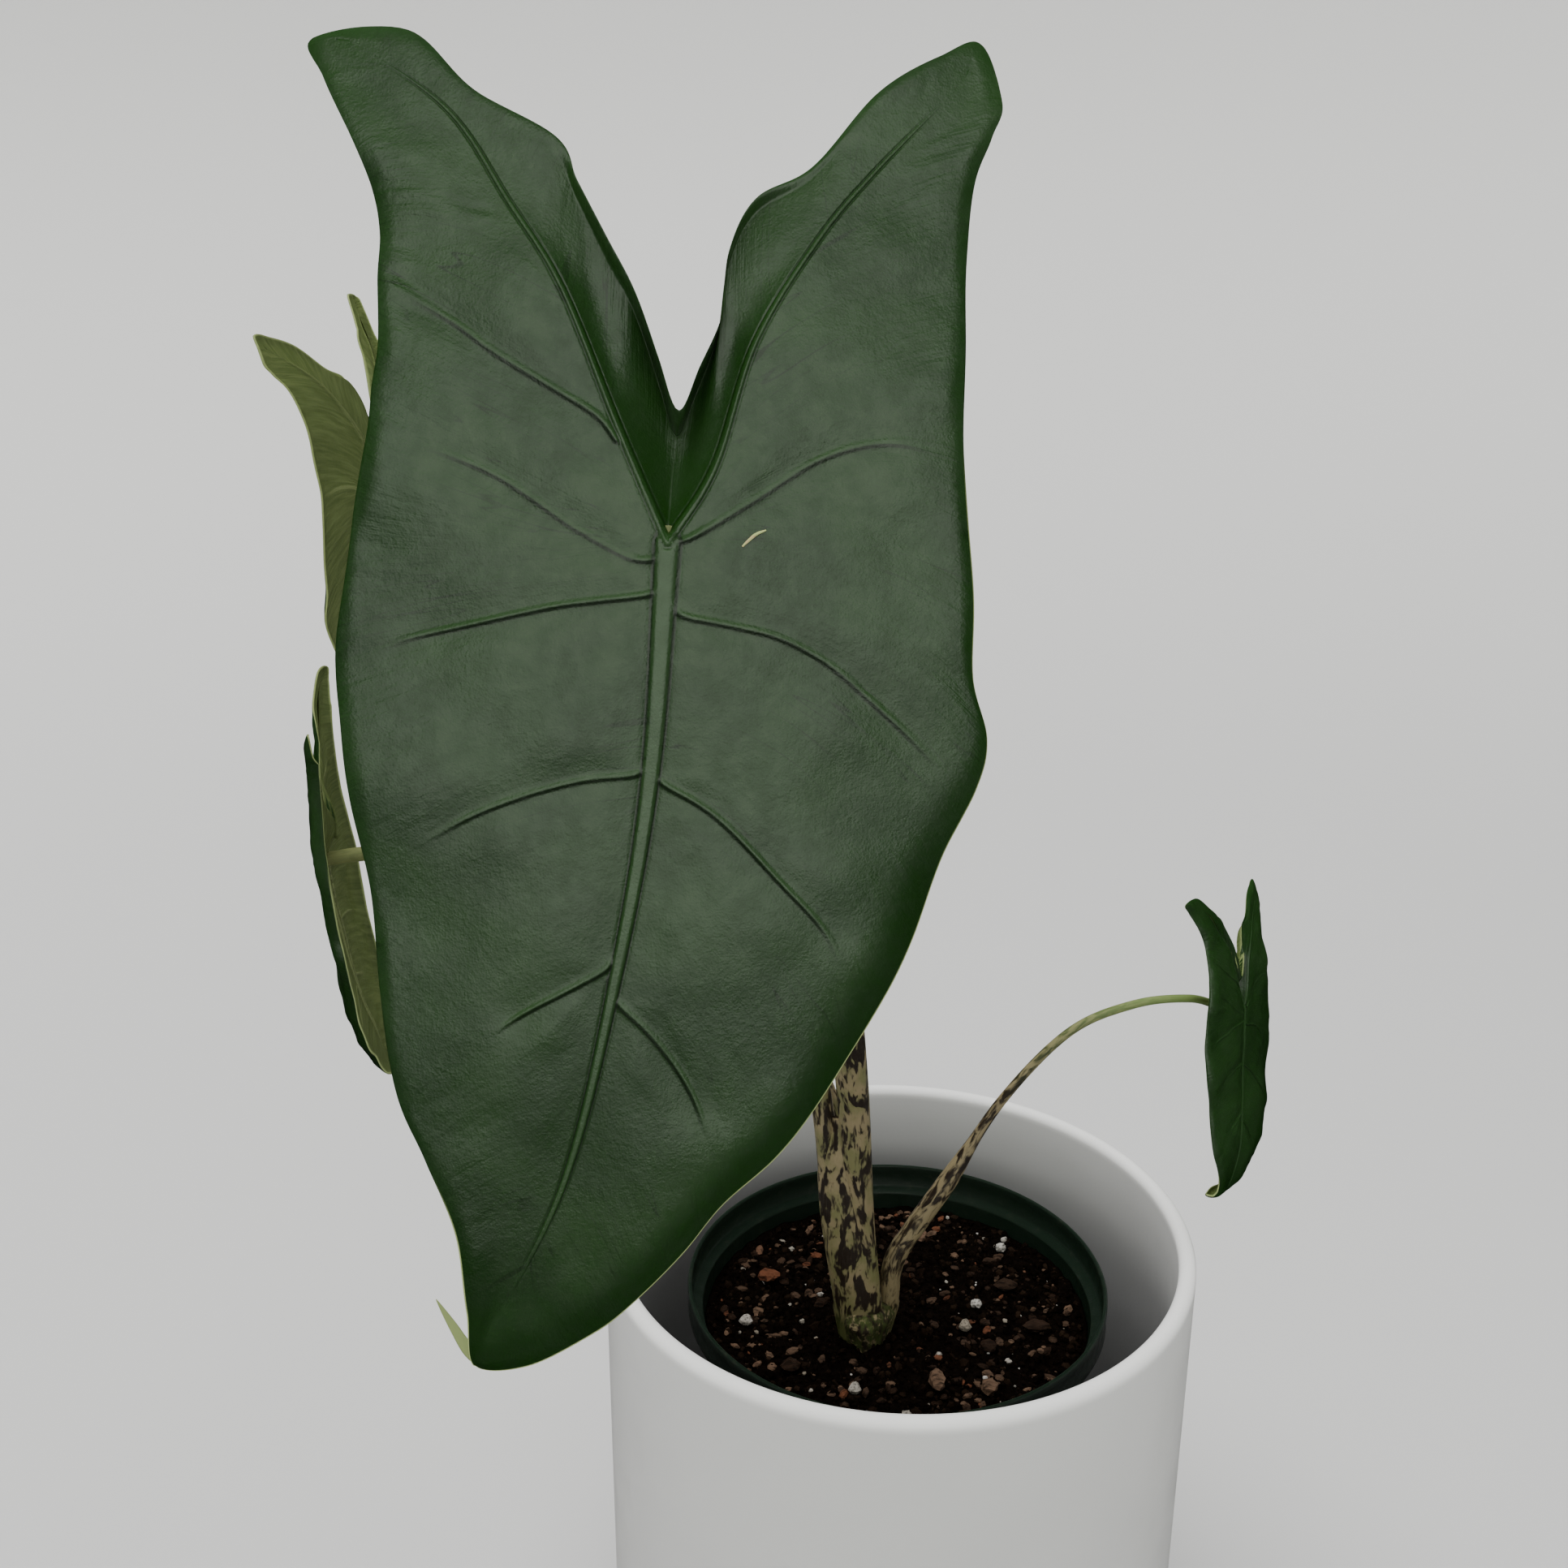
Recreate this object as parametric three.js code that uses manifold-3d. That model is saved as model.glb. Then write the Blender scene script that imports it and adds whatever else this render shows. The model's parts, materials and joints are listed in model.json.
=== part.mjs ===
// Potted alocasia: four arrow-shaped leaves on mottled petioles, rooted in a thin plastic
// nursery pot that stands inside a straight white ceramic cachepot.
// Millimetres, +Z up. The origin is the centre of the cachepot's foot.
// A leaf has a frame of its own: x to its right, y towards its lobes and z out of its upper side,
// with the origin where the petiole meets the blade.

import * as THREE from 'three';
import { mergeVertices } from 'three/addons/utils/BufferGeometryUtils.js';
import Module from 'manifold-3d';

const wasm = await Module();
wasm.setup();

// ---------------------------------------------------------------- driving dimensions

const clearance = 0.3; // between pieces that touch

const cachepot = { radius: 105, height: 178, wall: 6, floor: 8, footRadius: 2, sides: 64 };

const nursery = {
  rimRadius: 76,
  footRadius: 55,
  height: 148,
  wall: 1.4,
  floor: 1.8,
  bandHeight: 11,
  bandStep: 2.6,
  holeRadius: 5,
  holeInset: 15,
  holes: 8,
  sides: 64,
};

const soil = { belowRim: 16, dome: 2, rings: [0.85, 0.65, 0.4, 0] };

const corm = {
  x: -12,
  y: -19,
  depth: 16,
  top: 11.7,
  shoulder: 2,
  bottomRadius: 5,
  neckRadius: 7.5,
  topRadius: 11.5,
  sides: 20,
};

const bladeThickness = 0.9;
const bladeGap = 0.45; // between a blade and the flat end of its petiole

// Each petiole runs through points given from the middle of the corm at the soil's surface.
// Radii are spread evenly along it, from its base to its end at the blade.
// A blade's arcs are [length, radius] pairs walked from the petiole, bending to the underside
// where the radius is positive: towards the tip, towards the lobes and across to each side.
// Its curl is the strip that rolls under along the margin, [width, radius].
const leaves = {
  front: {
    joint: [-52, -177, 313],
    yaw: 4.4,
    pitch: 15,
    roll: 0,
    scale: 1.02,
    toTip: [[110, 2000], [60, 700]],
    toLobes: [[100, 1400]],
    across: [[70, 900]],
    curl: [6, 12],
    path: [[1, -1, 12], [-2.5, 1.5, 48], [-6, 1, 98], [-12, -15, 158], [-21, -51, 218], [-32, -99, 270]],
    approach: 26,
    radii: [5, 5.6, 5.2, 4.6, 4.2, 3.8, 3.4],
  },
  upper_left: {
    joint: [-171, 85, 284],
    yaw: -97,
    pitch: 6,
    roll: -7,
    scale: 0.74,
    toTip: [[150, -1500]],
    toLobes: [[100, -115]],
    across: [[70, -200]],
    curl: [4, 6],
    path: [[-7, 3.5, 12], [-12, 5.5, 48], [-17, 10, 95], [-33, 24, 168], [-72, 50, 238], [-118, 76, 275]],
    approach: 20,
    radii: [3.8, 3.7, 3.6, 3.5, 3.3, 3],
  },
  lower_left: {
    joint: [-184, 19, 175],
    yaw: -81,
    pitch: -3.5,
    roll: -3.5,
    scale: 0.6,
    toTip: [[60, 530], [40, -390]],
    toLobes: [[60, 650]],
    across: [[40, 150]],
    curl: [6, 5],
    path: [[0.5, 9, 12], [-5, 16, 48], [-18, 25, 95], [-62, 30, 150], [-115, 25, 176]],
    approach: 20,
    radii: [3.2, 3.1, 3, 2.8, 2.6, 2.4],
  },
  right: {
    joint: [132, 27, 118],
    yaw: 53,
    pitch: 10,
    roll: -8,
    scale: 0.45,
    toTip: [[45, -1250], [14, 40], [11, 5]],
    toLobes: [[15, 300], [25, 92]],
    across: [[40, 200]],
    curl: [3, 3],
    path: [
      [8.5, 4, 12], [10, 5, 30], [18, 7, 44], [29, 9, 61], [47, 13, 90], [69, 16, 114],
      [91, 19, 123], [111, 24, 123],
    ],
    approach: 9,
    radii: [3.4, 3.6, 3, 1.9, 1.8, 1.6, 1.5],
  },
};

const petioleMesh = { sides: 10, steps: 26 };

// Loose pieces on the soil: degrees round the pot's axis, distance in from the soil's edge and
// half sizes. Each is tilted by an angle that grows with its size.
const barkChips = [
  { turn: 285, inset: 25, size: [6, 3.6, 2.2] },
  { turn: 303, inset: 16, size: [5, 3, 2] },
  { turn: 322, inset: 30, size: [4.6, 3.2, 1.8] },
  { turn: 346, inset: 18, size: [5.4, 3, 2] },
  { turn: 15, inset: 26, size: [5, 3.4, 1.8] },
  { turn: 74, inset: 24, size: [5.6, 3, 2] },
  { turn: 160, inset: 20, size: [5, 3.2, 2] },
  { turn: 222, inset: 18, size: [4.8, 3, 1.8] },
];
const pumiceGrains = [
  { turn: 330, inset: 42, size: [2.8, 2.6, 2.2] },
  { turn: 270, inset: 10, size: [2.4, 2.2, 2] },
  { turn: 250, inset: 20, size: [2.6, 2.4, 2] },
  { turn: 0, inset: 40, size: [2.4, 2.2, 1.8] },
  { turn: 40, inset: 13, size: [2.6, 2.2, 2] },
  { turn: 190, inset: 14, size: [2.8, 2.4, 2] },
];
const lumpTilt = 0.12; // radians for each millimetre of half length

// ---------------------------------------------------------------- leaf plan

// A full-size blade, drawn flat. Each rib starts at the petiole and ends just inside a tip.
const ribs = {
  mid: [[0, 0], [-4, -43], [-11, -80], [-22, -121], [-38, -153]],
  right: [[0, 0], [9, 14], [17, 37], [29, 56], [40, 69], [58, 87]],
  left: [[0, 0], [-9, 22], [-18, 48], [-26, 62], [-36, 79], [-57, 92]],
};

// Lateral veins round the blade, from the tip up the right side and back down the left:
// the rib, how far along it the vein starts, the vein's bow and its end on the margin.
const veins = [
  ['mid', 1.0, [-39, -155], [-40, -157]],
  ['mid', 0.93, [-33, -152], [-31, -157]],
  ['mid', 0.85, [-25, -141], [-18, -151]],
  ['mid', 0.76, [-13, -128], [-9, -144.5]],
  ['mid', 0.65, [-4, -113], [0, -137]],
  ['mid', 0.54, [6, -98], [8, -129]],
  ['mid', 0.45, [10, -82], [19, -119]],
  ['mid', 0.37, [14, -66], [29, -106]],
  ['mid', 0.28, [18, -52], [38, -92]],
  ['mid', 0.21, [24, -42], [47, -76]],
  ['mid', 0.14, [29, -28], [53, -60]],
  ['mid', 0.08, [32, -16], [59, -48]],
  ['mid', 0.04, [36, -9], [61, -38]],
  ['mid', 0.0, [36, -2], [58, -26]],
  ['right', 0.0, [35, 7], [59, -10]],
  ['right', 0.0, [32, 22], [57.5, 9]],
  ['right', 0.0, [33, 27], [57, 24]],
  ['right', 0.16, [32, 36], [58, 40]],
  ['right', 0.39, [38, 52], [59, 55]],
  ['right', 0.6, [45, 66], [60.5, 68]],
  ['right', 0.76, [52, 75], [63.5, 76]],
  ['right', 0.9, [60, 83], [66, 83]],
  ['right', 1.0, [60, 90], [62, 92]],
  ['right', 0.9, [52, 86], [54, 89.5]],
  ['right', 0.76, [40, 77], [42, 82.5]],
  ['right', 0.6, [29, 64], [30, 70]],
  ['right', 0.39, [17, 52], [19.5, 64]],
  ['right', 0.25, [12, 40], [13.5, 54]],
  ['right', 0.1, [7, 28], [11.5, 42]],
  ['right', 0.04, [4, 18], [6.5, 32]],
  ['right', 0.0, [1, 12], [2.5, 24]],
  ['left', 0.06, [-1, 20], [-1, 34]],
  ['left', 0.14, [-5, 30], [-5, 46]],
  ['left', 0.3, [-11, 44], [-10, 56]],
  ['left', 0.46, [-16, 58], [-14, 67]],
  ['left', 0.6, [-23, 69], [-20, 74.5]],
  ['left', 0.78, [-35, 82], [-34, 85]],
  ['left', 0.9, [-47, 89], [-46, 93]],
  ['left', 1.0, [-58, 94], [-60, 95]],
  ['left', 0.9, [-55, 87], [-60, 85]],
  ['left', 0.78, [-48, 79], [-55.5, 74]],
  ['left', 0.6, [-40, 68], [-52, 65]],
  ['left', 0.46, [-37, 60], [-51, 58]],
  ['left', 0.21, [-30, 38], [-51, 49]],
  ['left', 0.1, [-29, 25], [-51.5, 37]],
  ['left', 0.0, [-26, 14], [-52, 29]],
  ['left', 0.0, [-22, 4], [-53, 20]],
  ['left', 0.0, [-27, -1], [-56.5, 5]],
  ['mid', 0.0, [-29, -5], [-59.5, -7]],
  ['mid', 0.06, [-30, -11], [-62, -20]],
  ['mid', 0.12, [-31, -20], [-61.5, -33]],
  ['mid', 0.19, [-32, -33], [-60, -47]],
  ['mid', 0.27, [-31, -44], [-58, -63]],
  ['mid', 0.38, [-31, -62], [-55, -82]],
  ['mid', 0.5, [-31, -86], [-52, -103]],
  ['mid', 0.65, [-33, -105], [-48, -116]],
  ['mid', 0.8, [-35, -127], [-44.5, -132]],
  ['mid', 0.92, [-38, -145], [-42, -147]],
];

const ribIntervals = { mid: 12, right: 7, left: 7 };
const bladeRows = [0, 0.35, 0.65, 0.82, 0.9, 0.95, 1];

// ---------------------------------------------------------------- materials

function finish(color, roughness) {
  return new THREE.MeshStandardMaterial({ color, roughness, metalness: 0 });
}

const materials = {
  glaze: finish(0xe4e3e0, 0.35),
  plastic: finish(0x12241a, 0.45),
  soil: finish(0x1a120d, 0.95),
  corm: finish(0x4c5228, 0.7),
  petiole: finish(0x8c8458, 0.6),
  blade: finish(0x2c4a2c, 0.4),
  bark: finish(0x6b3f28, 0.9),
  pumice: finish(0xb8b0a4, 0.9),
};

// ---------------------------------------------------------------- shared helpers

function lathe(profile, sides) {
  const points = profile.map(([radius, z]) => new THREE.Vector2(radius, z));
  return new THREE.LatheGeometry(points, sides).rotateX(Math.PI / 2);
}

function arc(centreX, centreZ, radius, from, to, steps) {
  const curve = new THREE.EllipseCurve(centreX, centreZ, radius, radius, from, to, from > to);
  return curve.getPoints(steps).map((point) => [point.x, point.y]);
}

// The same closed surface with shared vertices and without triangles that have no area.
function closed(geometry) {
  geometry.deleteAttribute('normal');
  geometry.deleteAttribute('uv');
  const merged = mergeVertices(geometry, 1e-3);
  const index = merged.getIndex().array;
  const kept = [];
  for (let i = 0; i < index.length; i += 3) {
    const [a, b, c] = index.slice(i, i + 3);
    if (a !== b && b !== c && c !== a) kept.push(a, b, c);
  }
  merged.setIndex(kept);
  return merged;
}

function solid(geometry) {
  const merged = closed(geometry);
  const vertProperties = merged.getAttribute('position').array;
  const triVerts = new Uint32Array(merged.getIndex().array);
  return new wasm.Manifold(new wasm.Mesh({ numProp: 3, vertProperties, triVerts }));
}

function geometryOf(body) {
  const mesh = body.getMesh();
  const geometry = new THREE.BufferGeometry();
  geometry.setAttribute('position', new THREE.BufferAttribute(mesh.vertProperties, 3));
  geometry.setIndex(new THREE.BufferAttribute(mesh.triVerts, 1));
  return geometry;
}

function piece(name, geometry, material) {
  const shape = geometry.clone();
  shape.computeVertexNormals();
  const mesh = new THREE.Mesh(shape, material);
  mesh.name = name;
  return mesh;
}

// ---------------------------------------------------------------- pots, soil and corm

const nurseryFoot = cachepot.floor + clearance;
const nurseryRim = nurseryFoot + nursery.height;
const soilTop = nurseryRim - soil.belowRim;

function makeCachepot() {
  const { radius, height, wall, floor, footRadius, sides } = cachepot;
  const lip = wall / 2;
  const profile = [
    [0, 0],
    ...arc(radius - footRadius, footRadius, footRadius, -Math.PI / 2, 0, 3),
    ...arc(radius - lip, height - lip, lip, 0, Math.PI, 8),
    ...arc(radius - wall - footRadius, floor + footRadius, footRadius, 0, -Math.PI / 2, 3),
    [0, floor],
  ];
  return piece('cachepot', closed(lathe(profile, sides)), materials.glaze);
}

// Radius of the nursery pot's tapered outer wall at a height above its foot.
function nurseryRadius(height) {
  const top = nursery.rimRadius - nursery.bandStep;
  return THREE.MathUtils.mapLinear(height, 0, nursery.height, nursery.footRadius, top);
}

function makeNurseryPot() {
  const { rimRadius, footRadius, height, wall, floor, bandHeight, sides } = nursery;
  const { holeRadius, holeInset, holes } = nursery;
  const bandFoot = height - bandHeight;
  const lip = wall / 2;
  const profile = [
    [0, 0],
    [nurseryRadius(0), 0],
    [nurseryRadius(bandFoot), bandFoot],
    [rimRadius, bandFoot],
    ...arc(rimRadius - lip, height - lip, lip, 0, Math.PI, 4),
    [rimRadius - wall, bandFoot + wall],
    [nurseryRadius(bandFoot + wall) - wall, bandFoot + wall],
    [nurseryRadius(floor) - wall, floor],
    [0, floor],
  ];
  let pot = solid(lathe(profile, sides));
  const holeCircle = footRadius - holeInset;
  const drillLength = floor * 4;
  for (let i = 0; i < holes; i++) {
    const turn = (i * 2 * Math.PI) / holes;
    const drill = new THREE.CylinderGeometry(holeRadius, holeRadius, drillLength, 16);
    drill.rotateX(Math.PI / 2);
    drill.translate(holeCircle * Math.cos(turn), holeCircle * Math.sin(turn), floor / 2);
    pot = pot.subtract(solid(drill));
  }
  const mesh = piece('nursery_pot', geometryOf(pot), materials.plastic);
  mesh.position.z = nurseryFoot;
  return mesh;
}

// Radius of the soil's wall at a height above the nursery pot's foot.
function soilRadius(height) {
  return nurseryRadius(height) - nursery.wall - clearance;
}

const soilEdge = soilRadius(nursery.height - soil.belowRim);

// Height of the soil's crowned surface at a distance from the pot's axis.
function soilHeight(reach) {
  return soilTop + soil.dome * (1 - (reach / soilEdge) ** 2);
}

// The corm's outline, grown all round by a margin for the pocket that holds it.
function cormProfile(grow) {
  const { depth, top, shoulder, bottomRadius, neckRadius, topRadius } = corm;
  return [
    [0, -depth - grow],
    [bottomRadius + grow, -depth - grow],
    [neckRadius + grow, -depth / 2],
    [neckRadius + grow, shoulder],
    [topRadius + grow, top - shoulder],
    [topRadius + grow, top + grow],
    [0, top + grow],
  ];
}

const cormFoot = soilHeight(Math.hypot(corm.x, corm.y));

function makeSoil() {
  const bottom = nursery.floor + clearance;
  const crown = soil.rings.map((share) => [soilEdge * share, soilHeight(soilEdge * share)]);
  const profile = [
    [0, nurseryFoot + bottom],
    [soilRadius(bottom), nurseryFoot + bottom],
    [soilEdge, soilTop],
    ...crown,
  ];
  const pocket = lathe(cormProfile(clearance), corm.sides).translate(corm.x, corm.y, cormFoot);
  const body = solid(lathe(profile, nursery.sides)).subtract(solid(pocket));
  return piece('soil', geometryOf(body), materials.soil);
}

function makeCorm() {
  return piece('corm', closed(lathe(cormProfile(0), corm.sides)), materials.corm);
}

// An irregular lump lying on the soil, clear of it by the usual gap.
function makeLump(name, { turn, inset, size }, material) {
  const angle = THREE.MathUtils.degToRad(turn);
  const lump = new THREE.DodecahedronGeometry(1, 0).scale(...size);
  lump.rotateX(lumpTilt * size[0]).rotateZ(angle);
  const shape = closed(lump);
  shape.computeBoundingBox();
  const mesh = piece(name, shape, material);
  const reach = soilEdge - inset;
  const rest = soilHeight(Math.max(0, reach - size[0])) + clearance;
  mesh.position.set(reach * Math.cos(angle), reach * Math.sin(angle), rest - shape.boundingBox.min.z);
  return mesh;
}

// ---------------------------------------------------------------- leaves

function curveThrough(points, isClosed = false) {
  const path = points.map((point) => new THREE.Vector3(point[0], point[1], point[2] ?? 0));
  return new THREE.CatmullRomCurve3(path, isClosed, 'catmullrom', 0.5);
}

const ribCurves = Object.fromEntries(Object.entries(ribs).map(([name, line]) => [name, curveThrough(line)]));
const bowCurve = curveThrough(veins.map((vein) => vein[2]), true);
const marginCurve = curveThrough(veins.map((vein) => vein[3]), true);

// The blade's columns: one at each even station of a rib, and one for each vein that leaves the
// petiole itself. Both sides of a rib use the same stations, so the two sides meet.
function bladeColumns() {
  const columns = [];
  veins.forEach(([rib, start], i) => {
    const [nextRib, end] = veins[(i + 1) % veins.length];
    const name = start > 0 ? rib : nextRib;
    const intervals = ribIntervals[name];
    const stations = [];
    if (start === 0 && end === 0) stations.push(0);
    for (let k = 0; k <= intervals && start !== end; k++) {
      const share = start < end ? k / intervals : 1 - k / intervals;
      if (start < end ? share >= start && share < end : share <= start && share > end) stations.push(share);
    }
    for (const share of stations) {
      const along = start === end ? 0 : (share - start) / (end - start);
      const place = (i + along) / veins.length;
      columns.push({
        foot: ribCurves[name].getPointAt(share),
        bow: bowCurve.getPoint(place),
        end: marginCurve.getPoint(place),
      });
    }
  });
  return columns;
}

const columns = bladeColumns();

// Where a walk of some length along tangent arcs ends: how far on, how high and its turn.
function walkArcs(length, arcs) {
  let left = Math.abs(length);
  let along = 0;
  let rise = 0;
  let angle = 0;
  arcs.forEach(([span, radius], i) => {
    const step = i === arcs.length - 1 ? left : Math.min(left, span);
    const turned = angle + step / radius;
    along += radius * (Math.sin(turned) - Math.sin(angle));
    rise += radius * (Math.cos(turned) - Math.cos(angle));
    angle = turned;
    left -= step;
  });
  const side = Math.sign(length) || 1;
  return { along: side * along, rise, angle: side * angle };
}

// Bends a flat point of the blade, at a height above the sheet, into the leaf's own frame.
function bend(leaf, x, y, height) {
  const turn = THREE.MathUtils.degToRad(leaf.roll);
  const flat = new THREE.Vector2(x, y).multiplyScalar(leaf.scale).rotateAround(new THREE.Vector2(), turn);
  const spine = walkArcs(flat.y, flat.y > 0 ? leaf.toLobes : leaf.toTip);
  const cross = walkArcs(flat.x, leaf.across);
  const lift = cross.rise + height * Math.cos(cross.angle);
  return new THREE.Vector3(
    cross.along + height * Math.sin(cross.angle),
    spine.along + lift * Math.sin(spine.angle),
    spine.rise + lift * Math.cos(spine.angle),
  );
}

// A point of a blade: share 0 is on the rib and 1 on the margin, whose last strip rolls under.
function bladePoint(leaf, { foot, bow, end }, share, height) {
  const column = new THREE.QuadraticBezierCurve3(foot, bow, end);
  const point = column.getPoint(share);
  const [width, radius] = leaf.curl;
  const strip = Math.min(width, (foot.distanceTo(end) * leaf.scale) / 2);
  const inside = point.distanceTo(end) * leaf.scale;
  if (inside >= strip) return bend(leaf, point.x, point.y, height);
  const outward = end.clone().sub(bow).normalize();
  const turn = (strip - inside) / radius;
  const reach = (radius + height) * Math.sin(turn) - strip;
  const onSheet = end.clone().addScaledVector(outward, reach / leaf.scale);
  return bend(leaf, onSheet.x, onSheet.y, (radius + height) * Math.cos(turn) - radius);
}

// A grid wrapped round the blade: its columns go round the outline, and its rows run from the
// ribs to the margin over the upper side and back under the lower one.
function makeBlade(name, leaf) {
  const half = bladeThickness / 2;
  const upper = bladeRows.map((share) => [share, half]);
  const rows = [...upper, ...bladeRows.toReversed().map((share) => [share, -half])];
  const grid = new THREE.PlaneGeometry(1, 1, columns.length, rows.length - 1);
  const position = grid.getAttribute('position');
  for (let i = 0; i < position.count; i++) {
    const column = columns[i % (columns.length + 1) % columns.length];
    const [share, height] = rows[Math.floor(i / (columns.length + 1))];
    const point = bladePoint(leaf, column, share, height);
    position.setXYZ(i, point.x, point.y, point.z);
  }
  const mesh = piece(`${name}_blade`, closed(grid), materials.blade);
  mesh.position.set(...leaf.joint);
  mesh.rotation.copy(leafTurn(leaf));
  return mesh;
}

function leafTurn({ yaw, pitch }) {
  const { degToRad } = THREE.MathUtils;
  return new THREE.Euler(degToRad(90 - pitch), 0, degToRad(yaw), 'ZXY');
}

// A round stalk from the corm to just under its blade, which it meets square on.
function makePetiole(name, leaf) {
  const joint = new THREE.Vector3(...leaf.joint);
  const out = new THREE.Vector3(0, 0, 1).applyEuler(leafTurn(leaf));
  const meeting = joint.clone().addScaledVector(out, -(bladeThickness / 2 + bladeGap));
  const before = meeting.clone().addScaledVector(out, -leaf.approach);
  const [footX, footY, footZ] = leaf.path[0];
  const above = [footX, footY, footZ + leaf.radii[0]];
  const points = [leaf.path[0], above, ...leaf.path.slice(1), before.toArray(), meeting.toArray()];
  const curve = curveThrough(points);
  const { sides, steps } = petioleMesh;
  const frames = curve.computeFrenetFrames(steps, false);
  const tube = new THREE.CylinderGeometry(1, 1, 1, sides, steps);
  const position = tube.getAttribute('position');
  for (let i = 0; i < position.count; i++) {
    const share = 0.5 + position.getY(i);
    const step = Math.round(share * steps);
    const radius = petioleRadius(leaf.radii, share);
    const point = curve.getPointAt(share);
    point.addScaledVector(frames.normals[step], position.getX(i) * radius);
    point.addScaledVector(frames.binormals[step], -position.getZ(i) * radius);
    position.setXYZ(i, point.x, point.y, point.z);
  }
  return piece(`${name}_petiole`, closed(tube), materials.petiole);
}

function petioleRadius(radii, share) {
  const place = share * (radii.length - 1);
  const i = Math.min(Math.floor(place), radii.length - 2);
  return THREE.MathUtils.lerp(radii[i], radii[i + 1], place - i);
}

// ---------------------------------------------------------------- the whole object

const plant = new THREE.Group();
plant.position.set(corm.x, corm.y, cormFoot);
plant.add(makeCorm());
for (const [name, leaf] of Object.entries(leaves)) {
  plant.add(makePetiole(name, leaf), makeBlade(name, leaf));
}

const pottedAlocasia = new THREE.Group();
pottedAlocasia.add(makeCachepot(), makeNurseryPot(), makeSoil(), plant);
barkChips.forEach((chip, i) => {
  pottedAlocasia.add(makeLump(`bark_chip_${i + 1}`, chip, materials.bark));
});
pumiceGrains.forEach((grain, i) => {
  pottedAlocasia.add(makeLump(`pumice_grain_${i + 1}`, grain, materials.pumice));
});

export default pottedAlocasia;
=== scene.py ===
"""Potted alocasia: builds the finished look of the plant, its two pots and its soil round the
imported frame. Metres, +Z up. The leaf tables are in millimetres, in a flat leaf's own frame."""

import json
import math

import bmesh
import bpy
import numpy as np
from bpy.props import FloatProperty, FloatVectorProperty, IntProperty, PointerProperty
from mathutils import Matrix, Vector

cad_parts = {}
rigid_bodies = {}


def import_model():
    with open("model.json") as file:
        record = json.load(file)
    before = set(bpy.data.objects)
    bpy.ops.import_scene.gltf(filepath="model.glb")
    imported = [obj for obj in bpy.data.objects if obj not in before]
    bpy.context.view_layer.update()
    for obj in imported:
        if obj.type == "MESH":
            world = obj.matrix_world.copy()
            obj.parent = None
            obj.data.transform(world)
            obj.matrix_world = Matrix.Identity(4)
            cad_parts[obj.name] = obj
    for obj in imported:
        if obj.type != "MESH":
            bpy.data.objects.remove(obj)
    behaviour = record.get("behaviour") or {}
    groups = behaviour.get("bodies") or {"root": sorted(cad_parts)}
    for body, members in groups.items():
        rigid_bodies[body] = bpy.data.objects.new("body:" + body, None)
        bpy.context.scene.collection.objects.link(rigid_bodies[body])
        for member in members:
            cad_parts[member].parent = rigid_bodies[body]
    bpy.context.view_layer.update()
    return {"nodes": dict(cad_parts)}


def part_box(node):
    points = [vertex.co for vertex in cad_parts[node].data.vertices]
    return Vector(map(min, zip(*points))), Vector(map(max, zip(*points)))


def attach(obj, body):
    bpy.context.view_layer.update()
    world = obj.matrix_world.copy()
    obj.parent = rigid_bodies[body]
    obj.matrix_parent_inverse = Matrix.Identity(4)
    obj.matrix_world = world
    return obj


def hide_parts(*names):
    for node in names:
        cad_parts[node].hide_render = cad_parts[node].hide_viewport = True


bl_info = {
    "name": "Potted Alocasia",
    "version": (1, 0, 0),
    "blender": (4, 5, 0),
    "location": "3D View > Sidebar > Alocasia",
    "description": "Builds a potted alocasia: leaves, stalks, soil and two pots",
    "category": "Object",
}

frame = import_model()
nodes = frame["nodes"]

MM = 0.001
BODY = "root"
CURVE_STEPS = 600
NOISE_CELLS = 256
LUMP_KINDS = 4
WELD = 2e-6

# Half the blade's thickness (mm), how much coarser its underside is made than its upper side, and
# how far apart two neighbouring veins count in the pattern of its wrinkles (mm).
HALF_BLADE = 0.32
UNDER_DENSITY = 0.42
VEIN_APART = 12.5

# ---------------------------------------------------------------- the leaf's flat plan

# Ribs run from the stalk's joint to just inside a tip.
RIBS = {
    "mid": [(0, 0), (-4, -43), (-11, -80), (-22, -121), (-38, -153)],
    "right": [(0, 0), (9, 14), (17, 37), (29, 56), (40, 69), (58, 87)],
    "left": [(0, 0), (-8.5, 21), (-18.5, 47), (-28, 63), (-39, 80), (-57, 93)],
}

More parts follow.
